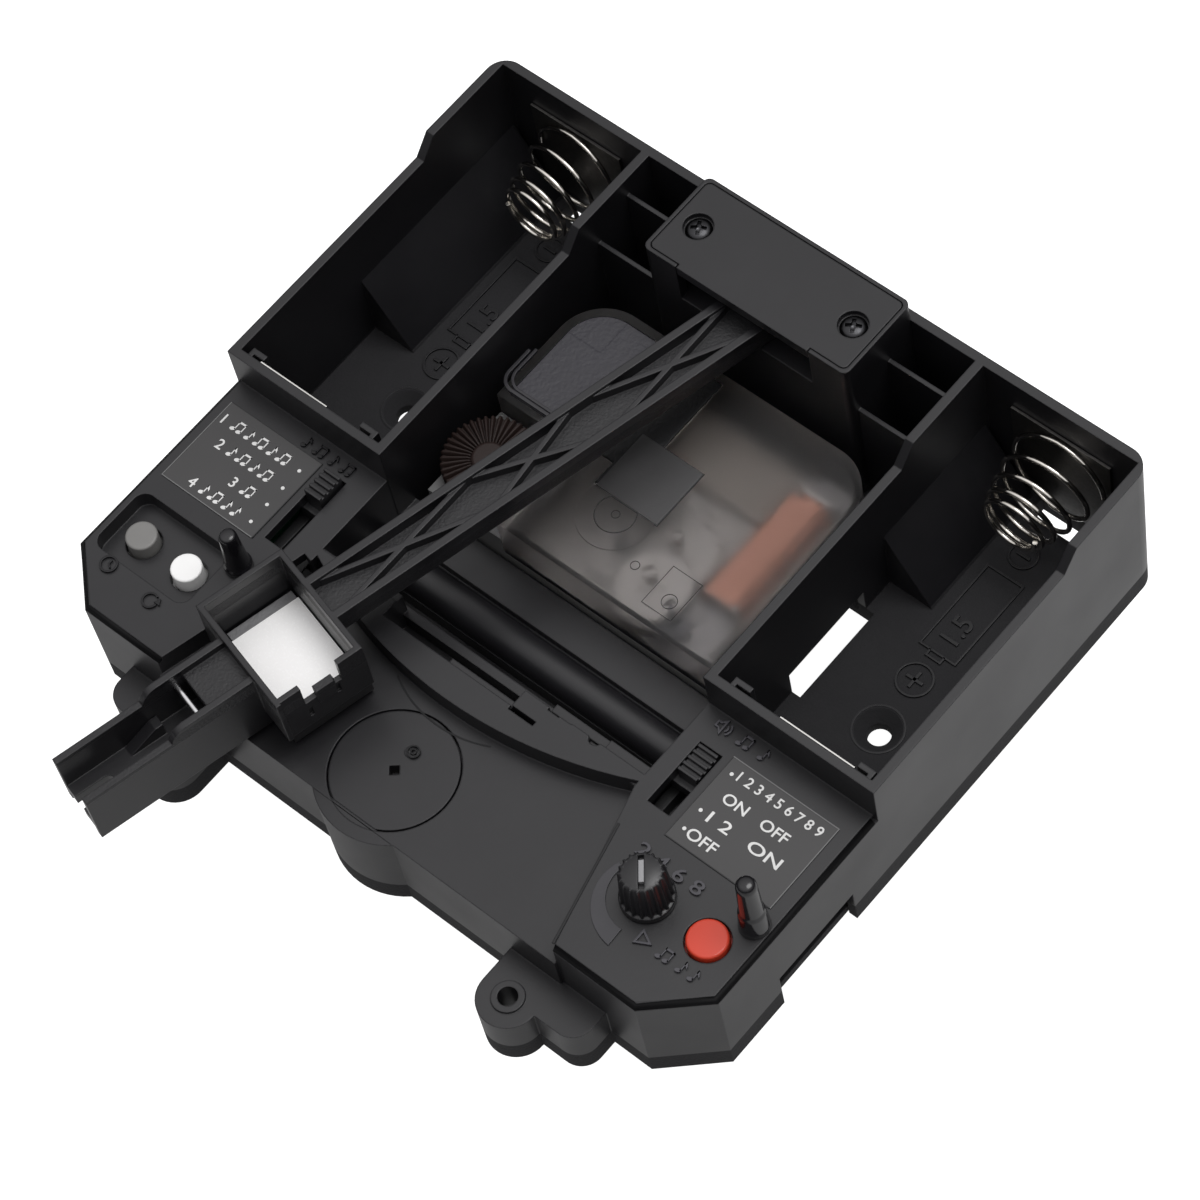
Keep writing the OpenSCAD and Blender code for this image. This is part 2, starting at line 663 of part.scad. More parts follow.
module battery_contact() color(c_steel) {
    y = box_y + wall;
    block(35.5, 58.7, y + 0.1, y + 0.5, 12.2, 26);
    block(43.6, 57, y + 0.1, y + 0.5, 6, 27.4);
    translate([bay_x, y + 1.1, bay_z]) rotate([90, 0, 0]) cylinder(r1 = 3.2, r2 = 4, h = 0.8);
}

module battery_contact_right() battery_contact();
module battery_contact_left() mirror([1, 0, 0]) battery_contact();

// Panel pieces
module tune_label() color([0.3, 0.3, 0.31])
    rounded_block(-half_w + 2.4, slot_l[0] - 1.4, -35.3, -19.5, 0.4, panel_z, panel_z + 0.12);

module sound_label() color([0.3, 0.3, 0.31])
    rounded_block(slot_r[1] + 1.3, half_w - 3.1, -35.9, -20.5, 0.4, panel_z, panel_z + 0.12);

tune_travel = 8.4;
sound_travel = 5.8;

module slide_knob(s, y, half, top) {
    x = (s[0] + s[1]) / 2;
    w = (s[1] - s[0]) / 2 - gap;
    color(c_case) {
        block(x - 1.4, x + 1.4, y - 1.6, y + 1.6, 12.6, 17);
        block(x - w - 1.2, x + w + 1.2, y - half - 1, y + half + 1, 16.6, panel_z - skin - gap);
        block(x - w, x + w, y - half, y + half, panel_z - skin - gap - 0.1, top - 0.6);
        for (i = [0 : 4])
            block(x - w, x + w, y - half + i * (2 * half - 0.5) / 4,
                y - half + 0.5 + i * (2 * half - 0.5) / 4, top - 0.7, top);
    }
}

module tune_switch_knob() slide_knob(slot_l, slot_l[3] - 2.8, 2.4, panel_z + 1.9);
module sound_switch_knob() slide_knob(slot_r, slot_r[3] - 2.9, 2.5, panel_z + 0.5);

module slide_body(s, y, travel) color(c_steel) difference() {
    x = (s[0] + s[1]) / 2;
    block(x - 3.4, x + 3.4, y - travel - 3.6, y + 3.6, board_top, 14.8);
    block(x - 1.7, x + 1.7, y - travel - 2, y + 2, 12.2, 16);
}

module tune_switch_body() slide_body(slot_l, slot_l[3] - 2.8, tune_travel);
module sound_switch_body() slide_body(slot_r, slot_r[3] - 2.9, sound_travel);

module round_key(s, r, top, under) {
    post(s, r, under - 1, top);
    post(s, r + 0.8, under - gap - 0.8, under - gap);
    post(s, 1.6, board_top + 0.7 + key_travel, under - gap);
}

module set_key() color(c_grey) round_key(key_spots[0], key_r, panel_z - 0.7, recess_z - skin);
module reset_key() color(c_white) round_key(key_spots[1], key_r - 0.05, panel_z - 0.7, recess_z - skin);
module monitor_key() color([0.75, 0.12, 0.10]) round_key(monitor_spot, monitor_r, panel_z + 0.8, panel_z - skin);

module key_switches() color(c_steel)
    for (s = concat(key_spots, [monitor_spot])) {
        difference() {
            block(s[0] - 3, s[0] + 3, s[1] - 3, s[1] + 3, board_top, 13.6);
            post(s, 1.9, board_top + 0.3, 15);
        }
    }

module volume_knob() color(c_case) difference() {
    union() {
        post(volume_spot, 2.4, 18.4, panel_z + 0.4);
        post(volume_spot, 1.5, 12.5, 19);
        translate([volume_spot[0], volume_spot[1], panel_z + gap]) cylinder(r = volume_r, h = 1);
        translate([volume_spot[0], volume_spot[1], panel_z + 1.2])
            cylinder(r1 = volume_r - 0.4, r2 = 2.9, h = 7.1);
        for (k = [0 : 17]) translate([volume_spot[0], volume_spot[1], panel_z + 1.2])
            rotate([0, 0, k * 20]) translate([volume_r - 0.55, 0, 0]) rotate([0, -6.4, 0])
                translate([-0.5, -0.3, 0]) cube([0.75, 0.6, 6.6]);
    }
    translate([volume_spot[0] - 0.5, volume_spot[1] - 0.2, panel_z + 7.4]) cube([1, 3.6, 2]);
}

module volume_control() color(c_steel) difference() {
    union() {
        block(volume_spot[0] - 4.8, volume_spot[0] + 4.8, volume_spot[1] - 4.8,
            volume_spot[1] + 4.8, board_top, 16.2);
        post(volume_spot, 3, 16, 17.4);
    }
    post(volume_spot, 1.5 + run_fit, board_top + 0.6, 18);
}

module left_peg() color(c_case) {
    post([-39.4, -39.9], 2.2, panel_z, panel_z + 1.2);
    translate([-39.4, -39.9, panel_z + 1.2]) cylinder(r1 = 1.85, r2 = 1.4, h = 8);
}

module right_peg() color(c_case) {
    x = half_w - 3.3;
    translate([x, -39, panel_z]) cylinder(r1 = 2.4, r2 = 2, h = 4.8);
    translate([x, -39, panel_z + 4.7]) cylinder(r1 = 1.8, r2 = 1.55, h = 8.6);
}

// Pendulum drive
module coil_cap() color(c_case) difference() {
    union() {
        post([0, coil_y], coil_r, deck_z - wall, deck_z);
        post([0, coil_y], coil_r - 1.6, deck_z - 2.6, deck_z - wall);
        tube([0, coil_y + 3.6], 0.9, 0.4, deck_z - 0.5, deck_z + 0.12);
    }
    translate([0, coil_y, deck_z]) rotate([0, 0, 40]) cube([1.5, 1.5, 4.6], center = true);
}

module drive_bobbin() color(c_nylon) difference() {
    union() {
        post([0, coil_y], 10.1, cover_t, cover_t + 1);
        post([0, coil_y], 3, cover_t, 13.2);
        post([0, coil_y], 10.1, 12.2, 13.2);
    }
    post([0, coil_y], 2, 0, 14);
}

module drive_coil() color(c_copper) tube([0, coil_y], 9.2, 3.05, cover_t + 1, 12.2);

module speaker() color([0.2, 0.2, 0.21]) {
    tube(speaker_spot, speaker_r, 10, cover_t + 0.1, 3);
    post(speaker_spot, speaker_r - 1.5, 2.8, 4.2);
    post(speaker_spot, 9, 4, 5.4);
    post(speaker_spot, 6, 5.2, 9);
}

module main_board() color(c_board) difference() {
    union() {
        block(-half_w + 3, half_w - 3, -50.4, -32.4, board_low, board_top);
        both() block(33.2, half_w - 10, -33, -17.5, board_low, board_top);
    }
    post([0, coil_y], boss_r + 0.6, board_low - 1, board_top + 1);
    block(-9, 9, -52, coil_y + 14.6, board_low - 1, board_top + 1);
}

// Clock module
module module_outline(t) {
    r = 8 - t;
    translate([-mod_x + t, mod_low + t]) square([2 * (mod_x - t), mod_high - mod_low - 2 * t - r]);
    translate([-mod_x + t + r, 0]) square([2 * (mod_x - t - r), mod_high - t]);
    both() translate([mod_x - t - r, mod_high - t - r]) circle(r);
}

module module_base() color(c_grey) difference() {
    union() {
        translate([0, 0, skin]) linear_extrude(1.5) module_outline(0);
        translate([0, 0, skin]) linear_extrude(base_z - skin) difference() {
            module_outline(0);
            module_outline(mod_wall);
        }
        // raised corner under the setting wheel
        difference() {
            block(set_block[0], set_block[1], set_block[2], set_block[3], mid_z + 3, set_block_z);
            block(set_block[0] + mod_wall, set_block[1] - mod_wall, set_block[2] + mod_wall,
                set_block[3] - mod_wall, mid_z + 2, set_block_z - mod_wall);
        }
        both() post([24.8, 18], 1.4, skin, mid_z);
        both() post([24.8, -8.6], 1.4, skin, mid_z);
        post(transfer_spot, 1.5, skin, 4);
    }
    post([0, 0], bush_in + run_fit, 0, 4);
    post(set_spot, 1.25 + run_fit, 2.4, set_block_z + 1);
    post(transfer_spot, arbor_r + run_fit, 2.4, 5);
}

module middle_plate() color(c_nylon) difference() {
    union() {
        translate([0, 0, mid_z]) linear_extrude(1) module_outline(mod_wall + gap);
        post(set_spot, 2.6, mid_z, mid_z + 2);
        post(rotor_spot, 1.3, mid_z, mid_z + 1.6);
        // posts of the stator and the circuit board
        post([20.6, 24.3], 1.2, mid_z, 10.4);
        post([20.6, -2.4], 1.2, mid_z, 10.4);
        for (x = [-23, -4]) post([x, 20.5], 1.4, mid_z, 9);
        post([10.2, 21.5], 1.4, mid_z, 9);
    }
    post([0, 0], minute_in + run_fit, mid_z - 1, mid_z + 2);
    post(set_spot, 1.25 + run_fit, mid_z - 1, mid_z + 3);
    post(transfer_spot, arbor_r + run_fit, mid_z - 1, mid_z + 2);
    for (s = [third_spot, second_spot, first_spot, rotor_spot])
        post(s, arbor_r + run_fit, mid_z - 1, mid_z + 3);
}

module module_cover() color([0.35, 0.30, 0.30, 0.6]) difference() {
    union() {
        difference() {
            translate([0, 0, base_z]) linear_extrude(mod_z - base_z) module_outline(0);
            translate([0, 0, base_z - 1]) linear_extrude(mod_z - base_z - 0.6)
                module_outline(mod_wall);
            block(-mod_x - 1, set_block[1] + 0.1, mod_low - 1, set_block[3] + 0.1, base_z - 1,
                mod_z + 1);
        }
        block(set_block[1] + 0.1, set_block[1] + 0.1 + mod_wall, mod_low, set_block[3] + 1.3,
            set_block_z + 0.1, mod_z);
        block(-mod_x, set_block[1] + 1.3, set_block[3] + 0.1, set_block[3] + 0.1 + mod_wall,
            base_z, mod_z);
        // bearing bosses
        for (s = [third_spot, second_spot, first_spot, rotor_spot])
            post(s, 1.2, 17, mod_z - 1);
        post([0, 0], 6.1, mod_z - 0.1, mod_z + 0.1);
        block(12.5, 18.2, -9.1, -1.6, mod_z - 0.1, mod_z + 0.1);
    }
    for (s = [third_spot, second_spot, first_spot, rotor_spot])
        post(s, arbor_r + run_fit, 16, 18.6);
    post([0, 0], 3.2, mod_z, mod_z + 1);
    post(rotor_spot, 1.2, mod_z, mod_z + 1);
    plate_seat(0.15, mod_z - 0.6, mod_z + 1);
}

module plate_seat(grow, z0, z1) {
    translate([0, 0, z0]) linear_extrude(z1 - z0) difference() {
        union() {
            intersection() {
                module_outline(1.6 - grow);
                translate([-mod_x, 6.6 - grow]) square([mod_x - 1.6 + grow, 30]);
            }
            translate([-6 - grow, 2.3 - grow]) square([4.5 + grow, 12]);
        }
        translate([0, 0]) circle(6.4 - grow);
    }
}

module module_plate() color([0.2, 0.2, 0.21]) plate_seat(0, mod_z - 0.6, mod_z + 0.1);

module setting_wheel() color([0.38, 0.22, 0.15]) {
    post(set_spot, set_wheel_r - 0.3, 16, 18.4);
    for (k = [0 : 39]) translate([set_spot[0], set_spot[1], 16]) rotate([0, 0, k * 9])
        translate([set_wheel_r - 0.6, -0.25, 0]) cube([0.6, 0.5, 2.5]);
    post(set_spot, 2.2, set_block_z + 0.1, 16.1);
    post(set_spot, 1.25, 2.6, 16.1);
    gear(set_spot, setting_teeth, motion_mod, setting_phase, 5.6, 0.7, 1);
}

// Motion work. The transfer wheel carries the phase that the others follow.
transfer_phase = direction(transfer_spot, [0, 0]);
hour_phase = 180 / 40 + direction([0, 0], transfer_spot);
minute_phase = direction([0, 0], transfer_spot) + 180 / 16;
setting_phase =
    mate_phase(transfer_phase, 48, direction(transfer_spot, set_spot), setting_teeth);

module dial_bush() color(c_brass) difference() {
    union() {
        post([0, 0], bush_r, -bush_out, 0);
        post([0, 0], bush_in, -1, 3.4);
        post([0, 0], 5.6, 3.3, 4);
    }
    post([0, 0], hour_in + run_fit, -bush_out - 1, 5);
}

module hour_wheel() color(c_nylon) {
    gear([0, 0], 40, hour_mod, hour_phase, 4.3, 0.8, minute_in + run_fit);
    tube([0, 0], hour_in, minute_in + run_fit, -bush_out - 3, 4.4);
    tube([0, 0], hour_r, minute_in + run_fit, -bush_out - 3, -bush_out - 0.1);
}

module minute_shaft() color(c_steel) {
    post([0, 0], minute_r, -bush_out - 7, -bush_out - 3.1);
    post([0, 0], minute_in, -bush_out - 4, mid_z + 3);
    gear([0, 0], 16, motion_mod, minute_phase, 5.4, 1.1, minute_in - 0.2);
}

module transfer_wheel() color(c_nylon) {
    gear(transfer_spot, 48, motion_mod, transfer_phase, 5.6, 0.7, arbor_r - 0.1);
    gear(transfer_spot, 10, hour_mod, transfer_phase, 4.2, 1.5, arbor_r - 0.1);
    arbor(transfer_spot, 2.8, mid_z + 0.8);
}

// Going train. The first wheel's teeth point at the wheels they drive.
to_rotor = direction(first_spot, rotor_spot);
to_second = direction(first_spot, second_spot);
to_third = direction(second_spot, third_spot);
to_centre = direction(third_spot, [0, 0]);

module train_wheel(spot, wheel, wheel_phase, wheel_z, pinion, pinion_mod, pinion_phase, pinion_z) {
    gear(spot, wheel, train_mod, wheel_phase, wheel_z, wheel_t, arbor_r - 0.1);
    gear(spot, pinion, pinion_mod, pinion_phase, pinion_z, wheel_t + 0.4, arbor_r - 0.1);
    arbor(spot, mid_z + 0.2, 18.4);
    tube(spot, arbor_r + 0.35, arbor_r - 0.1, pinion_z + wheel_t + 0.3, wheel_z + 0.1);
}

module first_wheel() color(c_nylon)
    train_wheel(first_spot, 60, to_rotor, 14, 10, train_mod, to_second, 12);

module second_wheel() color(c_nylon)
    train_wheel(second_spot, 60, to_second + 180 + 3, 12.2, 8, train_mod, to_third, 10.3);

module third_wheel() color(c_nylon)
    train_wheel(third_spot, 64, to_third + 180 + 180 / 64, 10.5, 10, centre_mod, to_centre, 8.4);

module centre_wheel() color(c_nylon)
    gear([0, 0], 50, centre_mod, to_centre + 180 + 3.6, 8.5, wheel_t + 0.2, minute_in + 0.02);

module rotor() color([0.35, 0.35, 0.36]) {
    gear(rotor_spot, 8, train_mod, to_rotor + 180 + 22.5, 13.8, 1, arbor_r - 0.1);
    post(rotor_spot, 2, 9.2, 12.6);
    arbor(rotor_spot, mid_z + 0.2, 18.4);
}

module stator() color(c_steel) difference() {
    union() {
        rounded_block(11.4, 22.8, -10, -0.6, 2, 10.4, 11.6);
        block(18, 20.4, -1, 25.6, 10.4, 11.6);
        rounded_block(17.4, 23.4, 22.6, 26.2, 0.8, 10.4, 11.6);
    }
    post(rotor_spot, 2.4, 10, 12);
    post(first_spot, 1.6, 10, 12);
}

module motor_bobbin() color(c_nylon) {
    x = 19.2;
    for (y = [0, 21.6]) difference() {
        block(x - 3, x + 3, y, y + 0.8, 8.2, 14.2);
        block(x - 1.3, x + 1.3, y - 1, y + 2, 10.3, 11.7);
    }
    difference() {
        block(x - 1.7, x + 1.7, 0.4, 22, 9.9, 12.1);
        block(x - 1.3, x + 1.3, -1, 23, 10.3, 11.7);
    }
}

module motor_coil() color(c_copper) difference() {
    translate([19.2, 0.85, 11]) rotate([-90, 0, 0]) cylinder(r = 2.8, h = 20.7);
    block(17.45, 20.95, 0, 23, 9.85, 12.15);
}

module module_board() color(c_board)
    difference() {
        rounded_block(-25.6, 13.6, 15, 25.4, 1, 9, 10);
        block(-27, -24, 24, 27, 8, 11);
        post([-25, 24.8], 2.6, 8, 11);
    }

module quartz_crystal() color(c_steel) {
    translate([-14, 18, 11.6]) rotate([0, 90, 0]) cylinder(r = 1.5, h = 8);
    block(-6.4, -4.6, 17.4, 18.6, 10, 11.6);
}

case_body();
front_cover();
cover_screws();
suspension_cover();
lid_screws();
suspension_pin();
pendulum_arm();
pendulum_magnet();
magnet_plate();
hook_pin();
spring_plates();
battery_spring_left();
battery_spring_right();
battery_contact_left();
battery_contact_right();
tune_label();
sound_label();
tune_switch_knob();
sound_switch_knob();
tune_switch_body();
sound_switch_body();
set_key();
reset_key();
monitor_key();
key_switches();
volume_knob();
volume_control();
left_peg();
right_peg();
coil_cap();
drive_coil();
drive_bobbin();
speaker();
main_board();
module_base();
middle_plate();
module_cover();
module_plate();
setting_wheel();
dial_bush();
hour_wheel();
minute_shaft();
transfer_wheel();
centre_wheel();
third_wheel();
second_wheel();
first_wheel();
rotor();
stator();
motor_bobbin();
motor_coil();
module_board();
quartz_crystal();
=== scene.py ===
"""Looks of a quartz pendulum clock movement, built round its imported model."""

import json
import math

import bmesh
import bpy
from bpy.props import FloatProperty, FloatVectorProperty, IntProperty, PointerProperty
from mathutils import Matrix, Vector


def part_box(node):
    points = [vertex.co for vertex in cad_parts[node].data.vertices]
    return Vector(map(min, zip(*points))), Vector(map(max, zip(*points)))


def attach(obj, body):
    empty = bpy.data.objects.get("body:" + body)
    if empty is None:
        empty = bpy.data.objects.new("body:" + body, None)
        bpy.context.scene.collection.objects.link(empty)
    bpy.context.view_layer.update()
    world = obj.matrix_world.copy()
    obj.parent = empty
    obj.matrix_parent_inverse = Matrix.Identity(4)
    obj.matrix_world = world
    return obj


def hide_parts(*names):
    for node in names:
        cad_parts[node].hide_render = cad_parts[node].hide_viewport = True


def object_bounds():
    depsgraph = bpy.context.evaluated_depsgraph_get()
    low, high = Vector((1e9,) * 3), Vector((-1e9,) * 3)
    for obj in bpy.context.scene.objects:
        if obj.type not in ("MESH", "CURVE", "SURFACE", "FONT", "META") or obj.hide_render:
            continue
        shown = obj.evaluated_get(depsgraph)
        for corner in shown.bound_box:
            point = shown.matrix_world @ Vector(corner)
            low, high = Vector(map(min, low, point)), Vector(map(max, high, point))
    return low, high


bl_info = {
    "name": "Clock movement looks",
    "version": (1, 0, 0),
    "blender": (4, 5, 0),
    "location": "View3D > Sidebar > Clock",
    "description": "Finishes, prints, springs and lighting of a pendulum clock movement",
    "category": "Object",
}

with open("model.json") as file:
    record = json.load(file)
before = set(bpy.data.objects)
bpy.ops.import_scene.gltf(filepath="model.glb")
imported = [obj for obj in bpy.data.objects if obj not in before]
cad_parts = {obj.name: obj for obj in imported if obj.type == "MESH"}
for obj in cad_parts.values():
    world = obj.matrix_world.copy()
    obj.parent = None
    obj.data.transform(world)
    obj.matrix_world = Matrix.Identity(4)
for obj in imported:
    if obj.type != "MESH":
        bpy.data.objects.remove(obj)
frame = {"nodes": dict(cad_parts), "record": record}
CAD_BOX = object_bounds()
NODES = frame["nodes"]
NODE_BODY = {node: body for body, names in frame["record"]["behaviour"]["bodies"].items()
             for node in names}
MM = 0.001

# The camera solved from the photograph: its own right, up and back, in the part's frame
CAMERA_RIGHT = Vector((0.754697, 0.64365, -0.127068))
CAMERA_UP = Vector((-0.516409, 0.702251, 0.490066))
CAMERA_BACK = Vector((0.404664, -0.304232, 0.862374))
KEY_PLACE = Vector((0.22, 0.3, 1.24))
KEY_SIZE = 0.7
FLOOR_REACH = 3.0

# Zones of a moulding with their own finish or painted shade: axis, from, to and fade, in mm
X, Y, Z = 0, 1, 2
BAY_FLOORS = (Z, -1.0, 3.8, 0.2)
ARM_WEB = (Z, 28.0, 29.9, 0.1)
# Painted shadow of the arm on the textured plate
ARM_SHADOW = (X, -9.0, 60.0, 3.0)

# Bottom and top of marks that stand on a face, in mm
PANEL_SIGNS = (20.6, 21.1)
PANEL_FLAT = (20.6, 20.8)
LABEL_PRINT = (20.8, 20.88)
PRINT_DEPTH = 0.08
DECK_LINES = (16.75, 16.83)
BAY_SIGNS = (3.4, 3.85)
COVER_RINGS = (20.45, 20.53)
COVER_DOTS = (20.35, 20.45)

# Places of pieces, in mm, and the turn of the knob's pointer, in degrees
BAY_X = 46.6
SPRING_HEIGHT = 17.2
KNOB_SPOT = (44.1, -44.8)
KNOB_TURN = -49.5
PIVOT_Y = 39.2
LID_SCREW_X = 14.7
WHEEL_SPOT = (-22.5, -3.2)
CAP_SPOT = (0.0, -50.2)


# Small helpers for node trees

def fill(tree, node, values):
    """Gives the inputs of a node their values, and a link where the value is a socket."""
    for key, value in values.items():
        socket = node.inputs[key]
        if isinstance(value, bpy.types.NodeSocket):
            tree.links.new(value, socket)
        else:
            socket.default_value = value


def add(tree, kind, values=None, **settings):
    """A new node with its settings and inputs."""
    node = tree.nodes.new(kind)
    for key, value in settings.items():
        setattr(node, key, value)
    fill(tree, node, values or {})
    return node


def calc(tree, operation, a, b=0.0, c=0.0):
    """The result socket of a math node."""
    node = add(tree, "ShaderNodeMath", {0: a, 1: b, 2: c}, operation=operation)
    return node.outputs[0]


def spread(tree, value, low, high, out_low=0.0, out_high=1.0):
    """A value moved from one range to another and held inside it."""
    node = add(tree, "ShaderNodeMapRange",
               {"Value": value, "From Min": low, "From Max": high,
                "To Min": out_low, "To Max": out_high}, clamp=True)
    return node.outputs[0]


def blend_colour(tree, factor, a, b):
    """Two colours mixed by a factor."""
    node = add(tree, "ShaderNodeMix", {0: factor, 6: a, 7: b}, data_type="RGBA")
    return node.outputs[2]


def place_in(tree):
    """The socket of the object coordinates."""
    return add(tree, "ShaderNodeTexCoord").outputs["Object"]


def noise(tree, place, scale, detail, rough=0.5):
    """The value socket of a noise texture."""
    node = add(tree, "ShaderNodeTexNoise",
               {"Vector": place, "Scale": scale, "Detail": detail, "Roughness": rough})
    return node.outputs[0]


def set_bump(tree, shader, height, normal=None):
    """Bumps a material by a height in mm, on top of a normal when there is one."""
    node = add(tree, "ShaderNodeBump", {"Height": height, "Distance": MM})
    if normal:
        tree.links.new(normal, node.inputs["Normal"])
    tree.links.new(node.outputs[0], shader.inputs["Normal"])


def new_group(name, tree_type, inputs, outputs):
    """An empty node group with named sockets, and its two end nodes."""
    tree = bpy.data.node_groups.new(name, tree_type)
    for label, kind, default in inputs:
        socket = tree.interface.new_socket(name=label, in_out="INPUT", socket_type=kind)
        if default is not None:
            socket.default_value = default
    for label, kind in outputs:
        tree.interface.new_socket(name=label, in_out="OUTPUT", socket_type=kind)
    return tree, tree.nodes.new("NodeGroupInput"), tree.nodes.new("NodeGroupOutput")


def rgba(colour, factor=1.0):
    """A colour times a factor, with its alpha."""
    return (colour[0] * factor, colour[1] * factor, colour[2] * factor, 1.0)


# Shader groups that several finishes share

def grain_group():
    """Spark-eroded grain of a moulding: a height and a slow tone change."""
    name = "Moulded grain"
    if name in bpy.data.node_groups:
        return bpy.data.node_groups[name]
    tree, ins, outs = new_group(
        name, "ShaderNodeTree",
        [("Grain size", "NodeSocketFloat", 0.4), ("Coarseness", "NodeSocketFloat", 0.5)],
        [("Height", "NodeSocketFloat"), ("Tone", "NodeSocketFloat")])
    place = place_in(tree)
    scale = calc(tree, "DIVIDE", 1.0 / MM, ins.outputs["Grain size"])
    fine = noise(tree, place, scale, 2.0, 0.6)
    pits = add(tree, "ShaderNodeTexVoronoi",
               {"Vector": place, "Scale": calc(tree, "MULTIPLY", scale, 0.7)},
               feature="SMOOTH_F1")
    slow = noise(tree, place, 60.0, 3.0)
    pit_share = calc(tree, "MULTIPLY", pits.outputs["Distance"], ins.outputs["Coarseness"])
    fill(tree, outs, {"Height": calc(tree, "ADD", fine, pit_share),
                      "Tone": spread(tree, slow, 0.3, 0.7)})
    return tree


def edge_group():
    """Rounded corners for the light, and a mask that is white along them, for painted edge
    highlights.
    """
    name = "Soft edges"
    if name in bpy.data.node_groups:
        return bpy.data.node_groups[name]
    tree, ins, outs = new_group(
        name, "ShaderNodeTree",
        [("Radius", "NodeSocketFloat", 0.3)],
        [("Normal", "NodeSocketVector"), ("Edge", "NodeSocketFloat")])
    radius = calc(tree, "MULTIPLY", ins.outputs["Radius"], MM)
    rounded = add(tree, "ShaderNodeBevel", {"Radius": radius}, samples=4)
    plain = add(tree, "ShaderNodeNewGeometry").outputs["Normal"]
    match = add(tree, "ShaderNodeVectorMath", {0: rounded.outputs[0], 1: plain},
                operation="DOT_PRODUCT")
    fill(tree, outs, {"Normal": rounded.outputs[0],
                      "Edge": spread(tree, match.outputs["Value"], 1.0, 0.72)})
    return tree


def dust_group():
    """Faint dust and handling marks."""
    name = "Handling marks"
    if name in bpy.data.node_groups:
        return bpy.data.node_groups[name]
    tree, ins, outs = new_group(
        name, "ShaderNodeTree",
        [("Amount", "NodeSocketFloat", 0.5)],
        [("Mask", "NodeSocketFloat")])
    place = place_in(tree)
    haze = spread(tree, noise(tree, place, 90.0, 6.0, 0.7), 0.45, 0.8)
    spots = spread(tree, noise(tree, place, 1900.0, 1.0), 0.70, 0.78)
    both = calc(tree, "ADD", calc(tree, "MULTIPLY", spots, 0.6), haze)
    fill(tree, outs, {"Mask": calc(tree, "MULTIPLY", both, ins.outputs["Amount"])})
    return tree


def use_group(tree, group, **values):
    """A group placed in a material with its own values."""
    node = tree.nodes.new("ShaderNodeGroup")
    node.node_tree = group
    fill(tree, node, {key.replace("_", " ").capitalize(): value
                      for key, value in values.items()})
    return node


def zone(tree, axis, low, high, fade):
    """White where an object coordinate, in mm, lies between two values."""
    part = add(tree, "ShaderNodeSeparateXYZ", {0: place_in(tree)}).outputs[axis]
    rise = spread(tree, part, (low - fade) * MM, low * MM)
    fall = spread(tree, part, high * MM, (high + fade) * MM, 1.0, 0.0)
    return calc(tree, "MULTIPLY", rise, fall)


def new_material(name):
    """A material, its node tree and its shader."""
    material = bpy.data.materials.new(name)
    material.use_nodes = True
    tree = material.node_tree
    shader = next(n for n in tree.nodes if n.type == "BSDF_PRINCIPLED")
    return material, tree, shader


def moulded(name, colour, rough=0.4, grain=0.25, depth=0.02, radius=0.3, edge_lift=1.8,
            wear=0.35, coarse=None, coarse_rough=0.16, dim=None, coat=0.0, shine=0.5):
    """Injection-moulded plastic: grain, rounded edges that catch light with a painted highlight,
    faint dust.

    coarse and dim are zones. The grain is deeper and rougher in the first, and the colour
    is painted nearly black in the second, as shade.
    """
    material, tree, shader = new_material(name)
    texture = use_group(tree, grain_group(), grain_size=grain, coarseness=0.6)
    edges = use_group(tree, edge_group(), radius=radius)
    marks = use_group(tree, dust_group(), amount=wear)
    # Painted highlight: the edges are coloured lighter through the edge mask
    light = rgba([min(1.0, c * edge_lift + 0.004) for c in colour])
    dusty = rgba([min(1.0, c * 1.35 + 0.012) for c in colour])
    tone = blend_colour(tree, texture.outputs["Tone"], rgba(colour, 0.82), rgba(colour))
    tone = blend_colour(tree, calc(tree, "MULTIPLY", marks.outputs[0], 0.5), tone, dusty)
    tone = blend_colour(tree, calc(tree, "MULTIPLY", edges.outputs["Edge"], 0.5), tone, light)
    # Painted shade: the colour goes nearly black inside the dim zone
    if dim:
        tone = blend_colour(tree, zone(tree, *dim), tone, rgba(colour, 0.12))
    height = calc(tree, "MULTIPLY", texture.outputs["Height"], depth)
    roughness = calc(tree, "ADD", rough, calc(tree, "MULTIPLY", texture.outputs["Tone"], 0.08))
    if coarse:
        mask = zone(tree, *coarse)
        height = calc(tree, "ADD", height,
                      calc(tree, "MULTIPLY", texture.outputs["Height"],
                           calc(tree, "MULTIPLY", mask, depth * 9)))
        roughness = calc(tree, "ADD", roughness, calc(tree, "MULTIPLY", mask, coarse_rough))
    set_bump(tree, shader, height, edges.outputs["Normal"])
    fill(tree, shader, {"Base Color": tone, "Roughness": roughness, "Coat Weight": coat,
                        "Specular IOR Level": shine})
    return material


def printed(name, colour, rough=0.4, wear=0.0, radius=0.3):
    """Flat ink or the shadow in a groove: almost no grain and no bright edges."""
    return moulded(name, colour, rough=rough, grain=0.2, depth=0.001, radius=radius,
                   edge_lift=1.0, wear=wear)


def black_finish(name, factor, **values):
    """A moulding whose colour is a multiple of the case's black."""
    return moulded(name, [c * factor for c in looks().finish.black], **values)


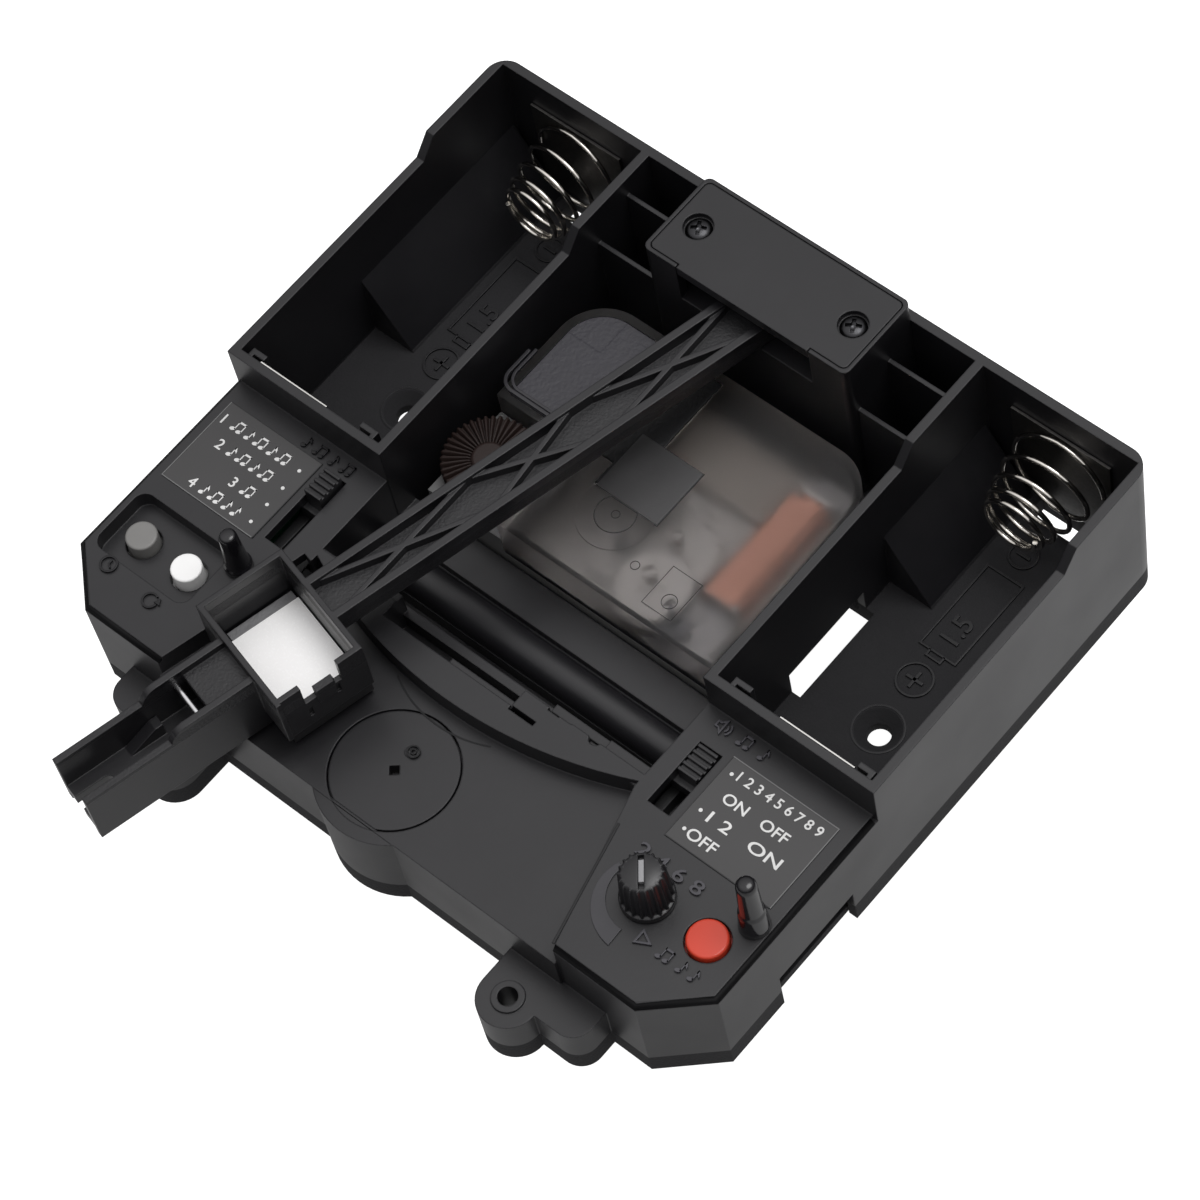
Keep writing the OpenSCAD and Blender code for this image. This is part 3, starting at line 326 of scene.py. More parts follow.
def metal(name, colour, rough=0.25, brushed=(1.0, 1.0, 1.0), depth=0.004):
    """Plated or drawn metal with fine draw lines and duller edges."""
    material, tree, shader = new_material(name)
    place = place_in(tree)
    lines = add(tree, "ShaderNodeMapping", {"Vector": place, "Scale": brushed})
    streaks = noise(tree, lines.outputs[0], 1800.0, 3.0)
    cloud = spread(tree, noise(tree, place, 200.0, 3.0), 0.35, 0.7)
    edges = use_group(tree, edge_group(), radius=0.1)
    set_bump(tree, shader, calc(tree, "MULTIPLY", streaks, depth), edges.outputs["Normal"])
    fill(tree, shader, {
        "Base Color": blend_colour(tree, cloud, rgba(colour), rgba(colour, 0.78)),
        "Roughness": spread(tree, streaks, 0.3, 0.7, rough * 0.8, rough * 1.3),
        "Metallic": 1.0})
    return material


def smoky(name, colour, rough=0.4):
    """Smoked see-through plastic with a slightly frosted inside."""
    material, tree, shader = new_material(name)
    texture = use_group(tree, grain_group(), grain_size=0.5, coarseness=0.4)
    edges = use_group(tree, edge_group(), radius=0.2)
    tone = texture.outputs["Tone"]
    set_bump(tree, shader, calc(tree, "MULTIPLY", texture.outputs["Height"], 0.004),
             edges.outputs["Normal"])
    fill(tree, shader, {
        "Base Color": blend_colour(tree, tone, rgba(colour, 0.92), rgba(colour)),
        "Roughness": spread(tree, tone, 0.0, 1.0, rough * 0.9, rough * 1.1),
        "Transmission Weight": 1.0, "Metallic": 0.0, "IOR": 1.25})
    return material


def wound(name, colour, axis, pitch=0.12):
    """Enamelled copper wire, wound in layers across an axis."""
    material, tree, shader = new_material(name)
    place = place_in(tree)
    part = add(tree, "ShaderNodeSeparateXYZ", {0: place}).outputs[axis]
    turn = calc(tree, "MULTIPLY", part, 2 * math.pi / (pitch * MM))
    ridge = spread(tree, calc(tree, "SINE", turn), -1.0, 1.0)
    cloud = noise(tree, place, 500.0, 2.0)
    # The grooves between turns are painted darker, as their shade
    tone = blend_colour(tree, ridge, rgba(colour, 0.7), rgba(colour))
    tone = blend_colour(tree, spread(tree, cloud, 0.4, 0.7, 0.0, 0.35), tone,
                        rgba(colour, 0.7))
    set_bump(tree, shader, calc(tree, "MULTIPLY", ridge, pitch * 0.4))
    fill(tree, shader, {"Base Color": tone, "Metallic": 0.1,
                        "Roughness": spread(tree, cloud, 0.3, 0.7, 0.4, 0.55)})
    return material


# Small helpers for meshes, all in mm

def piece(name, mesh, material, body, smooth=False):
    """A finished object that rides on a body of the part, from a mesh drawn in mm."""
    mesh.transform(Matrix.Scale(MM, 4))
    mesh.materials.clear()
    mesh.materials.append(material)
    mesh.polygons.foreach_set("use_smooth", [smooth] * len(mesh.polygons))
    obj = bpy.data.objects.new(name, mesh)
    bpy.context.scene.collection.objects.link(obj)
    bpy.context.view_layer.update()
    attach(obj, body)
    return obj


def baked(bm, name):
    """A mesh from a bmesh, which is freed."""
    mesh = bpy.data.meshes.new(name)
    bm.to_mesh(mesh)
    bm.free()
    return mesh


def tidy_mesh(bm, name):
    """A mesh with its double corners merged and its normals outward."""
    bmesh.ops.remove_doubles(bm, verts=bm.verts, dist=1e-4)
    bmesh.ops.recalc_face_normals(bm, faces=bm.faces)
    return baked(bm, name)


def bridge(bm, rows):
    """Faces between neighbouring closed rows of corners."""
    for low, high in zip(rows, rows[1:]):
        for k in range(len(low)):
            m = (k + 1) % len(low)
            bm.faces.new((low[k], low[m], high[m], high[k]))


def loft(rows, name):
    """A closed form through rows of (x, y, z) corners."""
    bm = bmesh.new()
    rows = [[bm.verts.new(corner) for corner in row] for row in rows]
    bridge(bm, rows)
    bm.faces.new(rows[0])
    bm.faces.new(rows[-1][::-1])
    return tidy_mesh(bm, name)


def join(name, meshes):
    """One mesh from several."""
    bm = bmesh.new()
    for mesh in meshes:
        bm.from_mesh(mesh)
        bpy.data.meshes.remove(mesh)
    return baked(bm, name)


def lathe(profile, centre, steps=48):
    """A turned form from (radius, height) points, closed on its axis."""
    bm = bmesh.new()
    rings = []
    for r, z in profile:
        if r < 1e-6:
            rings.append([bm.verts.new((centre[0], centre[1], z))])
            continue
        rings.append([bm.verts.new((x, y, z)) for x, y in circle_points(centre, r, steps)])
    for low, high in zip(rings, rings[1:]):
        for k in range(steps):
            m = (k + 1) % steps
            corners = [low[k % len(low)], low[m % len(low)],
                       high[m % len(high)], high[k % len(high)]]
            face = []
            for corner in corners:
                if corner not in face:
                    face.append(corner)
            if len(face) > 2:
                bm.faces.new(face)
    return tidy_mesh(bm, "turned")


def slab(outline, z0, z1):
    """A flat plate from an outline of (x, y) points."""
    bm = bmesh.new()
    low = [bm.verts.new((x, y, z0)) for x, y in outline]
    high = [bm.verts.new((x, y, z1)) for x, y in outline]
    bm.faces.new(low)
    bm.faces.new(high)
    bridge(bm, [low, high])
    bmesh.ops.recalc_face_normals(bm, faces=bm.faces)
    return baked(bm, "slab")


def line(points, width, z0, z1, closed=False):
    """A raised line of even width along (x, y) points."""
    count = len(points)
    left, right = [], []
    for k, point in enumerate(points):
        here = Vector(point)
        before = Vector(points[(k - 1) % count]) if closed or k else None
        after = Vector(points[(k + 1) % count]) if closed or k < count - 1 else None
        a = (here - before).normalized() if before else (after - here).normalized()
        b = (after - here).normalized() if after else a
        side_a, side_b = Vector((-a.y, a.x)), Vector((-b.y, b.x))
        mitre = (side_a + side_b).normalized()
        reach = width / 2 / max(0.3, mitre.dot(side_a))
        left.append(here + mitre * reach)
        right.append(here - mitre * reach)
    bm = bmesh.new()
    rows = [[bm.verts.new((p.x, p.y, z)) for p in side]
            for side in (left, right) for z in (z0, z1)]
    low_l, high_l, low_r, high_r = rows
    for k in range(count if closed else count - 1):
        m = (k + 1) % count
        for a, b in ((low_l, high_l), (high_l, high_r), (high_r, low_r), (low_r, low_l)):
            bm.faces.new((a[k], a[m], b[m], b[k]))
    if not closed:
        for k in (0, count - 1):
            bm.faces.new((low_l[k], high_l[k], high_r[k], low_r[k]))
    bmesh.ops.recalc_face_normals(bm, faces=bm.faces)
    return baked(bm, "line")


def circle_points(centre, radius, steps=40, start=0.0, end=360.0):
    """Points round a circle, or along an arc between two angles in degrees."""
    closed = abs(end - start) >= 360.0
    count = steps if closed else steps + 1
    angles = [math.radians(start + (end - start) * k / steps) for k in range(count)]
    return [(centre[0] + radius * math.cos(a), centre[1] + radius * math.sin(a))
            for a in angles]


def ring(centre, radius, width, levels, steps=40):
    """A raised ring."""
    return line(circle_points(centre, radius, steps), width, *levels, closed=True)


def dot(centre, radius, levels, steps=16):
    """A small flat disc."""
    return slab(circle_points(centre, radius, steps), *levels)


def box_points(x0, x1, y0, y1):
    """The corners of an upright rectangle."""
    return [(x0, y0), (x1, y0), (x1, y1), (x0, y1)]


def move(mesh, x, y, z=0.0, turn=0.0):
    """Turns a mesh about the Z axis, in degrees, moves it and hands it back."""
    mesh.transform(Matrix.Translation((x, y, z)) @ Matrix.Rotation(math.radians(turn), 4, "Z"))
    return mesh


def lettering(text, size, place, z, depth, turn=0.0):
    """Plain figures and words as a thin mesh, in mm, reading along +X."""
    curve = bpy.data.curves.new("figures", "FONT")
    curve.body = text
    curve.size = size
    curve.extrude = depth / 2
    curve.offset = 0.012 * size
    curve.resolution_u = 4
    obj = in_scene("figures", curve)
    mesh = move(shown_mesh(obj), *place, z + depth / 2, turn)
    bpy.data.objects.remove(obj)
    bpy.data.curves.remove(curve)
    bm = bmesh.new()
    bm.from_mesh(mesh)
    bpy.data.meshes.remove(mesh)
    return tidy_mesh(bm, "figures")


def shown_mesh(obj):
    """The mesh of an object after its modifiers."""
    bpy.context.view_layer.update()
    deps = bpy.context.evaluated_depsgraph_get()
    return bpy.data.meshes.new_from_object(obj.evaluated_get(deps))


def in_scene(name, data):
    """A scratch object in the scene."""
    obj = bpy.data.objects.new(name, data)
    bpy.context.scene.collection.objects.link(obj)
    return obj


def cut(mesh, cutters):
    """A mesh with closed cutters taken out of it."""
    host = in_scene("cut", mesh)
    tools = []
    for cutter in cutters:
        tool = in_scene("cutter", cutter)
        modifier = host.modifiers.new("cut", "BOOLEAN")
        modifier.operation = "DIFFERENCE"
        modifier.solver = "EXACT"
        modifier.object = tool
        tools.append(tool)
    result = shown_mesh(host)
    for tool in tools + [host]:
        bpy.data.objects.remove(tool)
    return result


def ellipse(centre, wide, high, lean=0.0, steps=16):
    """Points round a leaning ellipse."""
    c, s = math.cos(math.radians(lean)), math.sin(math.radians(lean))
    return [(centre[0] + x * wide * c - y * high * s, centre[1] + x * wide * s + y * high * c)
            for x, y in circle_points((0.0, 0.0), 1.0, steps)]


def note(x, y, high, z0, z1, pair=False):
    """A plain music note, single or beamed, standing on (x, y)."""
    head, stem = 0.2 * high, 0.09 * high
    spots = [x + head] + ([x + 0.62 * high + head] if pair else [])
    meshes = []
    for spot in spots:
        right = spot + 0.22 * high
        meshes += [slab(ellipse((spot, y + 0.16 * high), 0.24 * high, 0.16 * high, 22), z0, z1),
                   slab(box_points(right - stem, right, y + 0.18 * high, y + high), z0, z1)]
    if pair:
        start, end = spots[0] + 0.22 * high - stem, spots[1] + 0.22 * high
        meshes.append(slab([(start, y + 0.82 * high), (end, y + 0.86 * high),
                            (end, y + 1.02 * high), (start, y + high)], z0, z1))
    else:
        right = spots[0] + 0.22 * high
        meshes.append(slab([(right - stem, y + high), (right, y + high),
                            (right + 0.2 * high, y + 0.7 * high),
                            (right + 0.24 * high, y + 0.5 * high),
                            (right + 0.12 * high, y + 0.62 * high),
                            (right - stem, y + 0.74 * high)], z0, z1))
    return meshes


def horn(x, y, high, z0, z1):
    """A plain loudspeaker sign with two sound arcs."""
    mid = y + high / 2
    cone = [(x, mid - 0.2 * high), (x + 0.25 * high, mid - 0.2 * high),
            (x + 0.55 * high, mid - 0.5 * high), (x + 0.55 * high, mid + 0.5 * high),
            (x + 0.25 * high, mid + 0.2 * high), (x, mid + 0.2 * high)]
    meshes = [line(cone, 0.14 * high, z0, z1, closed=True)]
    for reach in (0.3, 0.55):
        arc = circle_points((x + 0.6 * high, mid), reach * high, 10, -50, 50)
        meshes.append(line(arc, 0.13 * high, z0, z1))
    return meshes


def fitted(text, size, place, wide, z, depth):
    """Lettering stretched to an exact width."""
    mesh = lettering(text, size, (0.0, 0.0), 0.0, depth)
    xs = [v.co.x for v in mesh.vertices]
    share = wide / (max(xs) - min(xs))
    mesh.transform(Matrix.Translation((place[0] - min(xs) * share, place[1], z))
                   @ Matrix.Diagonal((share, 1.0, 1.0, 1.0)))
    return mesh


def shade_flat_edges(obj, angle=32.0):
    """Smooth shading that breaks at sharp corners."""
    mesh = obj.data
    bm = bmesh.new()
    bm.from_mesh(mesh)
    for edge in bm.edges:
        if len(edge.link_faces) == 2:
            edge.smooth = edge.calc_face_angle(0.0) < math.radians(angle)
    bm.to_mesh(mesh)
    bm.free()


# Geometry Nodes

def grown(tree, values, name):
    """The mesh that a node tree makes with these input values."""
    host = in_scene(name, bpy.data.meshes.new(name))
    modifier = host.modifiers.new("grow", "NODES")
    modifier.node_group = tree
    for item in tree.interface.items_tree:
        if item.item_type == "SOCKET" and item.in_out == "INPUT" and item.name in values:
            modifier[item.identifier] = values[item.name]
    mesh = shown_mesh(host)
    host.modifiers.remove(modifier)
    bpy.data.objects.remove(host)
    if not mesh.polygons:
        raise RuntimeError(f"{name}: the tree made no faces")
    return mesh


def dress(tree, ins, outs, geometry):
    """Ends a tree with real geometry in the material of its input."""
    real = add(tree, "GeometryNodeRealizeInstances", {"Geometry": geometry})
    dressed = add(tree, "GeometryNodeSetMaterial",
                  {"Geometry": real.outputs[0], "Material": ins.outputs["Material"]})
    tree.links.new(dressed.outputs[0], outs.inputs[0])
    return tree


def spring_tree():
    """A tapered compression spring swept along a winding path."""
    tree, ins, outs = new_group(
        "Tapered spring", "GeometryNodeTree",
        [("Turns", "NodeSocketFloat", 5.0), ("Wire", "NodeSocketFloat", 0.5),
         ("Large radius", "NodeSocketFloat", 8.0), ("Small radius", "NodeSocketFloat", 4.5),
         ("Length", "NodeSocketFloat", 11.0), ("Side", "NodeSocketFloat", 1.0),
         ("Material", "NodeSocketMaterial", None)],
        [("Geometry", "NodeSocketGeometry")])
    path = add(tree, "GeometryNodeCurvePrimitiveLine", {"End": (0.0, 0.0, 1.0)})
    fine = add(tree, "GeometryNodeResampleCurve", {"Curve": path.outputs[0], "Count": 181})
    share = add(tree, "GeometryNodeSplineParameter").outputs["Factor"]
    angle = calc(tree, "MULTIPLY", share,
                 calc(tree, "MULTIPLY", ins.outputs["Turns"], 2 * math.pi))
    radius = add(tree, "ShaderNodeMix",
                 {0: share, 2: ins.outputs["Large radius"], 3: ins.outputs["Small radius"]})
    reach = radius.outputs[0]
    across = calc(tree, "MULTIPLY", calc(tree, "COSINE", angle), reach)
    across = calc(tree, "MULTIPLY", across, ins.outputs["Side"])
    up = calc(tree, "MULTIPLY", calc(tree, "SINE", angle), reach)
    # the first and last two thirds of a turn lie almost flat
    along = spread(tree, share, 0.05, 0.96)
    eased = calc(tree, "SUBTRACT", 1.0,
                 calc(tree, "POWER", calc(tree, "SUBTRACT", 1.0, along), 1.7))
    flat = calc(tree, "MULTIPLY", share, 0.12)
    drop = calc(tree, "ADD", calc(tree, "MULTIPLY", eased, 0.88), flat)
    drop = calc(tree, "MULTIPLY", drop, calc(tree, "MULTIPLY", ins.outputs["Length"], -1.0))
    spot = add(tree, "ShaderNodeCombineXYZ", {0: across, 1: drop, 2: up})
    bent = add(tree, "GeometryNodeSetPosition",
               {"Geometry": fine.outputs[0], "Position": spot.outputs[0]})
    section = add(tree, "GeometryNodeCurvePrimitiveCircle",
                  {"Resolution": 12, "Radius": ins.outputs["Wire"]})
    swept = add(tree, "GeometryNodeCurveToMesh",
                {"Curve": bent.outputs[0], "Profile Curve": section.outputs[0],
                 "Fill Caps": True})
    return dress(tree, ins, outs, swept.outputs[0])


def round_tree():
    """Copies of one shape set round the Z axis, such as pleats, flutes or screws."""
    tree, ins, outs = new_group(
        "Copies round an axis", "GeometryNodeTree",
        [("Count", "NodeSocketInt", 40), ("Shape", "NodeSocketObject", None),
         ("Material", "NodeSocketMaterial", None)],
        [("Geometry", "NodeSocketGeometry")])
    spots = add(tree, "GeometryNodeMeshLine",
                {"Count": ins.outputs["Count"], "Offset": (0.0, 0.0, 0.0)})
    shape = add(tree, "GeometryNodeObjectInfo", {"Object": ins.outputs["Shape"]})
    order = add(tree, "GeometryNodeInputIndex").outputs[0]
    turn = calc(tree, "MULTIPLY", order,
                calc(tree, "DIVIDE", 2 * math.pi, ins.outputs["Count"]))
    spin = add(tree, "ShaderNodeCombineXYZ", {2: turn})
    placed = add(tree, "GeometryNodeInstanceOnPoints",
                 {"Points": spots.outputs[0], "Instance": shape.outputs["Geometry"],
                  "Rotation": spin.outputs[0]})
    return dress(tree, ins, outs, placed.outputs[0])


def round_copies(shape, count, material, name):
    """The mesh of a shape, drawn in mm, repeated round the Z axis."""
    label = "Copies round an axis"
    tree = bpy.data.node_groups.get(label) or round_tree()
    model = in_scene("shape", shape)
    mesh = grown(tree, {"Count": count, "Shape": model, "Material": material}, name)
    bpy.data.objects.remove(model)
    return mesh


# Values that a user would change

def number(name, about, value, **more):
    """A property that holds a number."""
    return FloatProperty(name=name, description=about, default=value, **more)


def tint(name, about, value):
    """A property that holds a colour."""
    return FloatVectorProperty(name=name, description=about, default=value, subtype="COLOR")


class ClockStage(bpy.types.PropertyGroup):
    lens: number("Lens", "Focal length of the camera, in mm", 135.077, min=20.0)
    eye: FloatVectorProperty(name="Camera place", description="Where the camera stands",
                             default=(0.271679, -0.210974, 0.583386), subtype="TRANSLATION")
    floor_tone: number("Floor brightness", "Glow of the pale floor", 0.28, min=0.0)
    key_power: number("Key light", "Power of the large soft light", 6.5, unit="POWER")
    sky: number("Overhead light", "Brightness straight above", 1.26, min=0.0)


class ClockFinish(bpy.types.PropertyGroup):
    black: tint("Case black", "Colour of the black mouldings", (0.0085, 0.0082, 0.0098))
    smoke: tint("Smoked cover", "Tint of the module's cover", (0.76, 0.745, 0.745))
    copper: tint("Winding", "Colour of the copper wire", (1.0, 0.5, 0.36))
    red: tint("Red button", "Colour of the play button", (0.66, 0.052, 0.022))
    brown: tint("Setting wheel", "Colour of the setting wheel", (0.02, 0.012, 0.0105))


class ClockSprings(bpy.types.PropertyGroup):
    turns: number("Turns", "Turns of a battery spring", 5.0)
    wire: number("Wire", "Wire diameter, in mm", 0.8)
    large: number("Large radius", "Radius at the plate, in mm", 8.0)
    small: number("Small radius", "Radius at the tip, in mm", 4.5)
    length: number("Length", "Free length, in mm", 12.6)


class ClockWheel(bpy.types.PropertyGroup):
    pleats: IntProperty(name="Pleats", description="Ribs on the setting wheel", default=40)
    flutes: IntProperty(name="Flutes", description="Flutes of the volume knob", default=18)


class ClockLooks(bpy.types.PropertyGroup):
    stage: PointerProperty(type=ClockStage)
    finish: PointerProperty(type=ClockFinish)
    springs: PointerProperty(type=ClockSprings)
    wheel: PointerProperty(type=ClockWheel)


def looks():
    """The values of this scene."""
    return bpy.context.scene.clock_looks


def paint(material, *names):
    """Gives CAD nodes this material."""
    for name in names:
        obj = NODES[name]
        obj.data.materials.clear()
        obj.data.materials.append(material)


def black_plastic():
    """The plain black of small mouldings, made once."""
    name = "Black moulding"
    if name in bpy.data.materials:
        return bpy.data.materials[name]
    return moulded(name, looks().finish.black, rough=0.36, grain=0.3, depth=0.006)


# Operators

class CLOCK_OT_stage(bpy.types.Operator):
    """Sets the camera, the lights and the pale floor"""
    bl_idname = "clock.stage"
    bl_label = "Stage"

    def execute(self, context):
        values = looks().stage
        camera = bpy.data.cameras.new("camera")
        camera.lens = values.lens
        camera.sensor_width = 36.0
        camera.sensor_fit = "HORIZONTAL"
        camera.clip_end = 10.0
        holder = in_scene("camera", camera)
        turn = Matrix((CAMERA_RIGHT, CAMERA_UP, CAMERA_BACK)).transposed().to_4x4()
        holder.matrix_world = Matrix.Translation(values.eye) @ turn
        context.scene.camera = holder

        floor_mesh = bpy.data.meshes.new("floor")
        low = CAD_BOX[0][2] - 0.1 * MM
        corners = box_points(-FLOOR_REACH, FLOOR_REACH, -FLOOR_REACH, FLOOR_REACH)
        floor_mesh.from_pydata([(x, y, low) for x, y in corners], [], [(0, 1, 2, 3)])
        floor_mesh.materials.append(self.floor_finish(values))
        in_scene("floor", floor_mesh)
        self.light_up(context, values)
        context.scene.view_settings.view_transform = "Standard"
        return {"FINISHED"}

    def floor_finish(self, values):
        """Pure white to the camera, and dim to the part, less so at its right back."""
        material, tree, shader = new_material("Floor")
        seen = add(tree, "ShaderNodeLightPath").outputs["Is Camera Ray"]
        parts = add(tree, "ShaderNodeSeparateXYZ", {0: place_in(tree)}).outputs
        across = calc(tree, "ADD", parts[X], calc(tree, "MULTIPLY", parts[Y], 0.8))
        beside = spread(tree, across, 0.03, 0.1, values.floor_tone * 0.85,
                        values.floor_tone * 1.8)
        fill(tree, shader, {"Base Color": rgba((0.35, 0.35, 0.35)), "Roughness": 0.8,
                            "Emission Color": rgba((1.0, 1.0, 1.0)),
                            "Emission Strength": calc(tree, "MAXIMUM", beside, seen)})
        return material

    def light_up(self, context, values):
        """One large soft light above the top of the clock, and a sky that fades to its edge."""
        light = bpy.data.lights.new("key", "AREA")
        light.shape = "DISK"
        light.size = KEY_SIZE
        light.energy = values.key_power
        lamp = in_scene("key", light)
        lamp.location = KEY_PLACE
        lamp.rotation_euler = (-KEY_PLACE).to_track_quat("-Z", "Y").to_euler()
        world = bpy.data.worlds.new("studio")
        context.scene.world = world
        world.use_nodes = True
        tree = world.node_tree
        place = add(tree, "ShaderNodeTexCoord").outputs["Generated"]
        height = add(tree, "ShaderNodeSeparateXYZ", {0: place}).outputs[Z]
        glow = spread(tree, height, 0.3, 0.92, 0.03, values.sky)
        seen = add(tree, "ShaderNodeLightPath").outputs["Is Camera Ray"]
        fill(tree, tree.nodes["Background"], {0: rgba((1.0, 0.99, 1.0)),
                                              1: calc(tree, "MAXIMUM", glow, seen)})


class CLOCK_OT_mouldings(bpy.types.Operator):
    """Finishes the black moulded pieces"""
    bl_idname = "clock.mouldings"
    bl_label = "Black mouldings"

    def execute(self, context):
        black = looks().finish.black
        paint(moulded("Case moulding", black, rough=0.36, grain=0.32, depth=0.006,
                      coarse=BAY_FLOORS, coarse_rough=0.45), "case_body", "front_cover")
        paint(moulded("Arm moulding", black, rough=0.3, grain=0.35, depth=0.006,
                      coarse=ARM_WEB), "pendulum_arm")
        paint(black_plastic(), "suspension_cover", "coil_cap", "tune_switch_knob",
              "sound_switch_knob", "volume_knob", "left_peg", "right_peg")
        # The textured plate carries the arm's painted shadow
        paint(black_finish("Textured plate", 4.2, rough=0.45, grain=0.55, depth=0.09,
                           shine=0.4, dim=ARM_SHADOW), "module_plate")
        return {"FINISHED"}


class CLOCK_OT_keys(bpy.types.Operator):
    """Turns the push buttons, with rounded tops"""
    bl_idname = "clock.keys"
    bl_label = "Push buttons"

    def execute(self, context):
        grey = moulded("Grey button", (0.19, 0.187, 0.18), rough=0.38, grain=0.4, depth=0.003,
                       edge_lift=1.15)
        white = moulded("White button", (0.95, 0.95, 0.94), rough=0.3, edge_lift=1.0,
                        wear=0.05)
        red = moulded("Red button", looks().finish.red, rough=0.42, edge_lift=1.0,
                      wear=0.05, depth=0.002, coat=0.25, shine=0.35)
        # each shape: place, radius, top, height of its collar, radius of its top edge
        for node, finish, slot, (x, y, r, top, under, edge) in (
                ("set_key", grey, "grey_key", (-55.4, -44.6, 2.5, 20.0, 15.9, 0.35)),
                ("reset_key", white, "white_key", (-46.1, -44.6, 2.45, 20.0, 15.9, 0.3)),
                ("monitor_key", red, "red_key", (55.0, -44.8, 3.1, 21.5, 18.9, 0.4))):
            profile = [(0.0, top)]
            for k in range(7):
                a = math.radians(15 * k)
                profile.append((r - edge + edge * math.sin(a), top - edge + edge * math.cos(a)))
            collar, stem, foot = r + 0.8, 1.6, 12.7
            profile += [(r, under - 0.3), (collar, under - 0.3), (collar, under - 1.1),
                        (stem, under - 1.1), (stem, foot), (0.0, foot)]
            obj = piece(node + "_cap", lathe(profile, (x, y), 64), finish,
                        NODE_BODY[node], True)
            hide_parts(node)
            shade_flat_edges(obj)
        self.volume_knob()
        self.pegs()
        return {"FINISHED"}

    def volume_knob(self):
        """A fluted cone on a plain skirt, with a pointer let into its top."""
        base, top = 21.0, 29.0
        black = black_finish("Knob plastic", 1.0, rough=0.3, grain=0.3, depth=0.004)
        body = [(0.0, top), (2.7, top), (2.95, top - 0.12), (3.05, top - 0.4),
                (3.4, base + 1.5), (3.6, base + 1.1), (4.0, base + 0.95), (4.1, base + 0.8),
                (4.1, base), (2.4, base), (2.4, 18.4), (1.5, 18.4), (1.5, 12.5), (0.0, 12.5)]
        # a ridge from the skirt to the top edge, with a rounded crest
        rows = []
        for z, r, half, rise in ((base + 1.0, 3.45, 0.36, 0.5), (base + 1.6, 3.38, 0.34, 0.5),
                                 (base + 4.2, 3.2, 0.3, 0.46), (top - 0.5, 3.0, 0.28, 0.44),
                                 (top - 0.1, 2.9, 0.22, 0.34)):
            row = [(-half, -0.25), (-half, 0.0), (-0.45 * half, 0.8 * rise), (0.0, rise),
                   (0.45 * half, 0.8 * rise), (half, 0.0), (half, -0.25)]
            rows.append([(r + out, side, z) for side, out in row])
        ridges = round_copies(loft(rows, "ridge"), looks().wheel.flutes, black, "ridges")
        move(ridges, *KNOB_SPOT)
        groove = slab(box_points(-2.6, 2.62, -0.42, 0.42), top - 0.9, top + 1.0)
        turned = cut(lathe(body, KNOB_SPOT, 72), [move(groove, *KNOB_SPOT, turn=KNOB_TURN)])
        knob = piece("volume_knob_cap", join("knob", [turned, ridges]), black,
                     NODE_BODY["volume_knob"], True)
        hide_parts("volume_knob")
        shade_flat_edges(knob)
        pale = moulded("Pointer", (0.3, 0.3, 0.31), rough=0.35, edge_lift=1.0, wear=0.1)
        pointer = slab(box_points(-1.9, 1.5, -0.4, 0.4), top - 0.92, top - 0.12)
        piece("volume_pointer", move(pointer, *KNOB_SPOT, turn=KNOB_TURN), pale,
              NODE_BODY["volume_knob"])

    def pegs(self):
        """Two glossy pegs with rounded ends, the right one in two steps."""
        gloss = black_finish("Glossy peg", 1.0, rough=0.13, grain=0.5, depth=0.001,
                             coat=0.15, shine=0.4)
        left = [(0.0, 29.9), (0.95, 29.88), (1.25, 29.7), (1.42, 29.3), (1.62, 26.0),
                (1.86, 22.3), (1.95, 21.95), (2.12, 21.8), (2.2, 21.5), (2.2, 20.7),
                (0.0, 20.7)]
        right = [(0.0, 34.0), (0.85, 33.96), (1.25, 33.75), (1.5, 33.3), (1.57, 32.6),
                 (1.78, 26.0), (1.84, 25.7), (2.0, 25.45), (2.06, 25.0), (2.3, 21.8),
                 (2.4, 20.7), (0.0, 20.7)]
        for node, profile, spot in (("left_peg", left, (-39.4, -39.9)),
                                    ("right_peg", right, (58.7, -39.0))):
            obj = piece(node + "_turned", lathe(profile, spot, 48), gloss,
                        NODE_BODY[node], True)
            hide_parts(node)


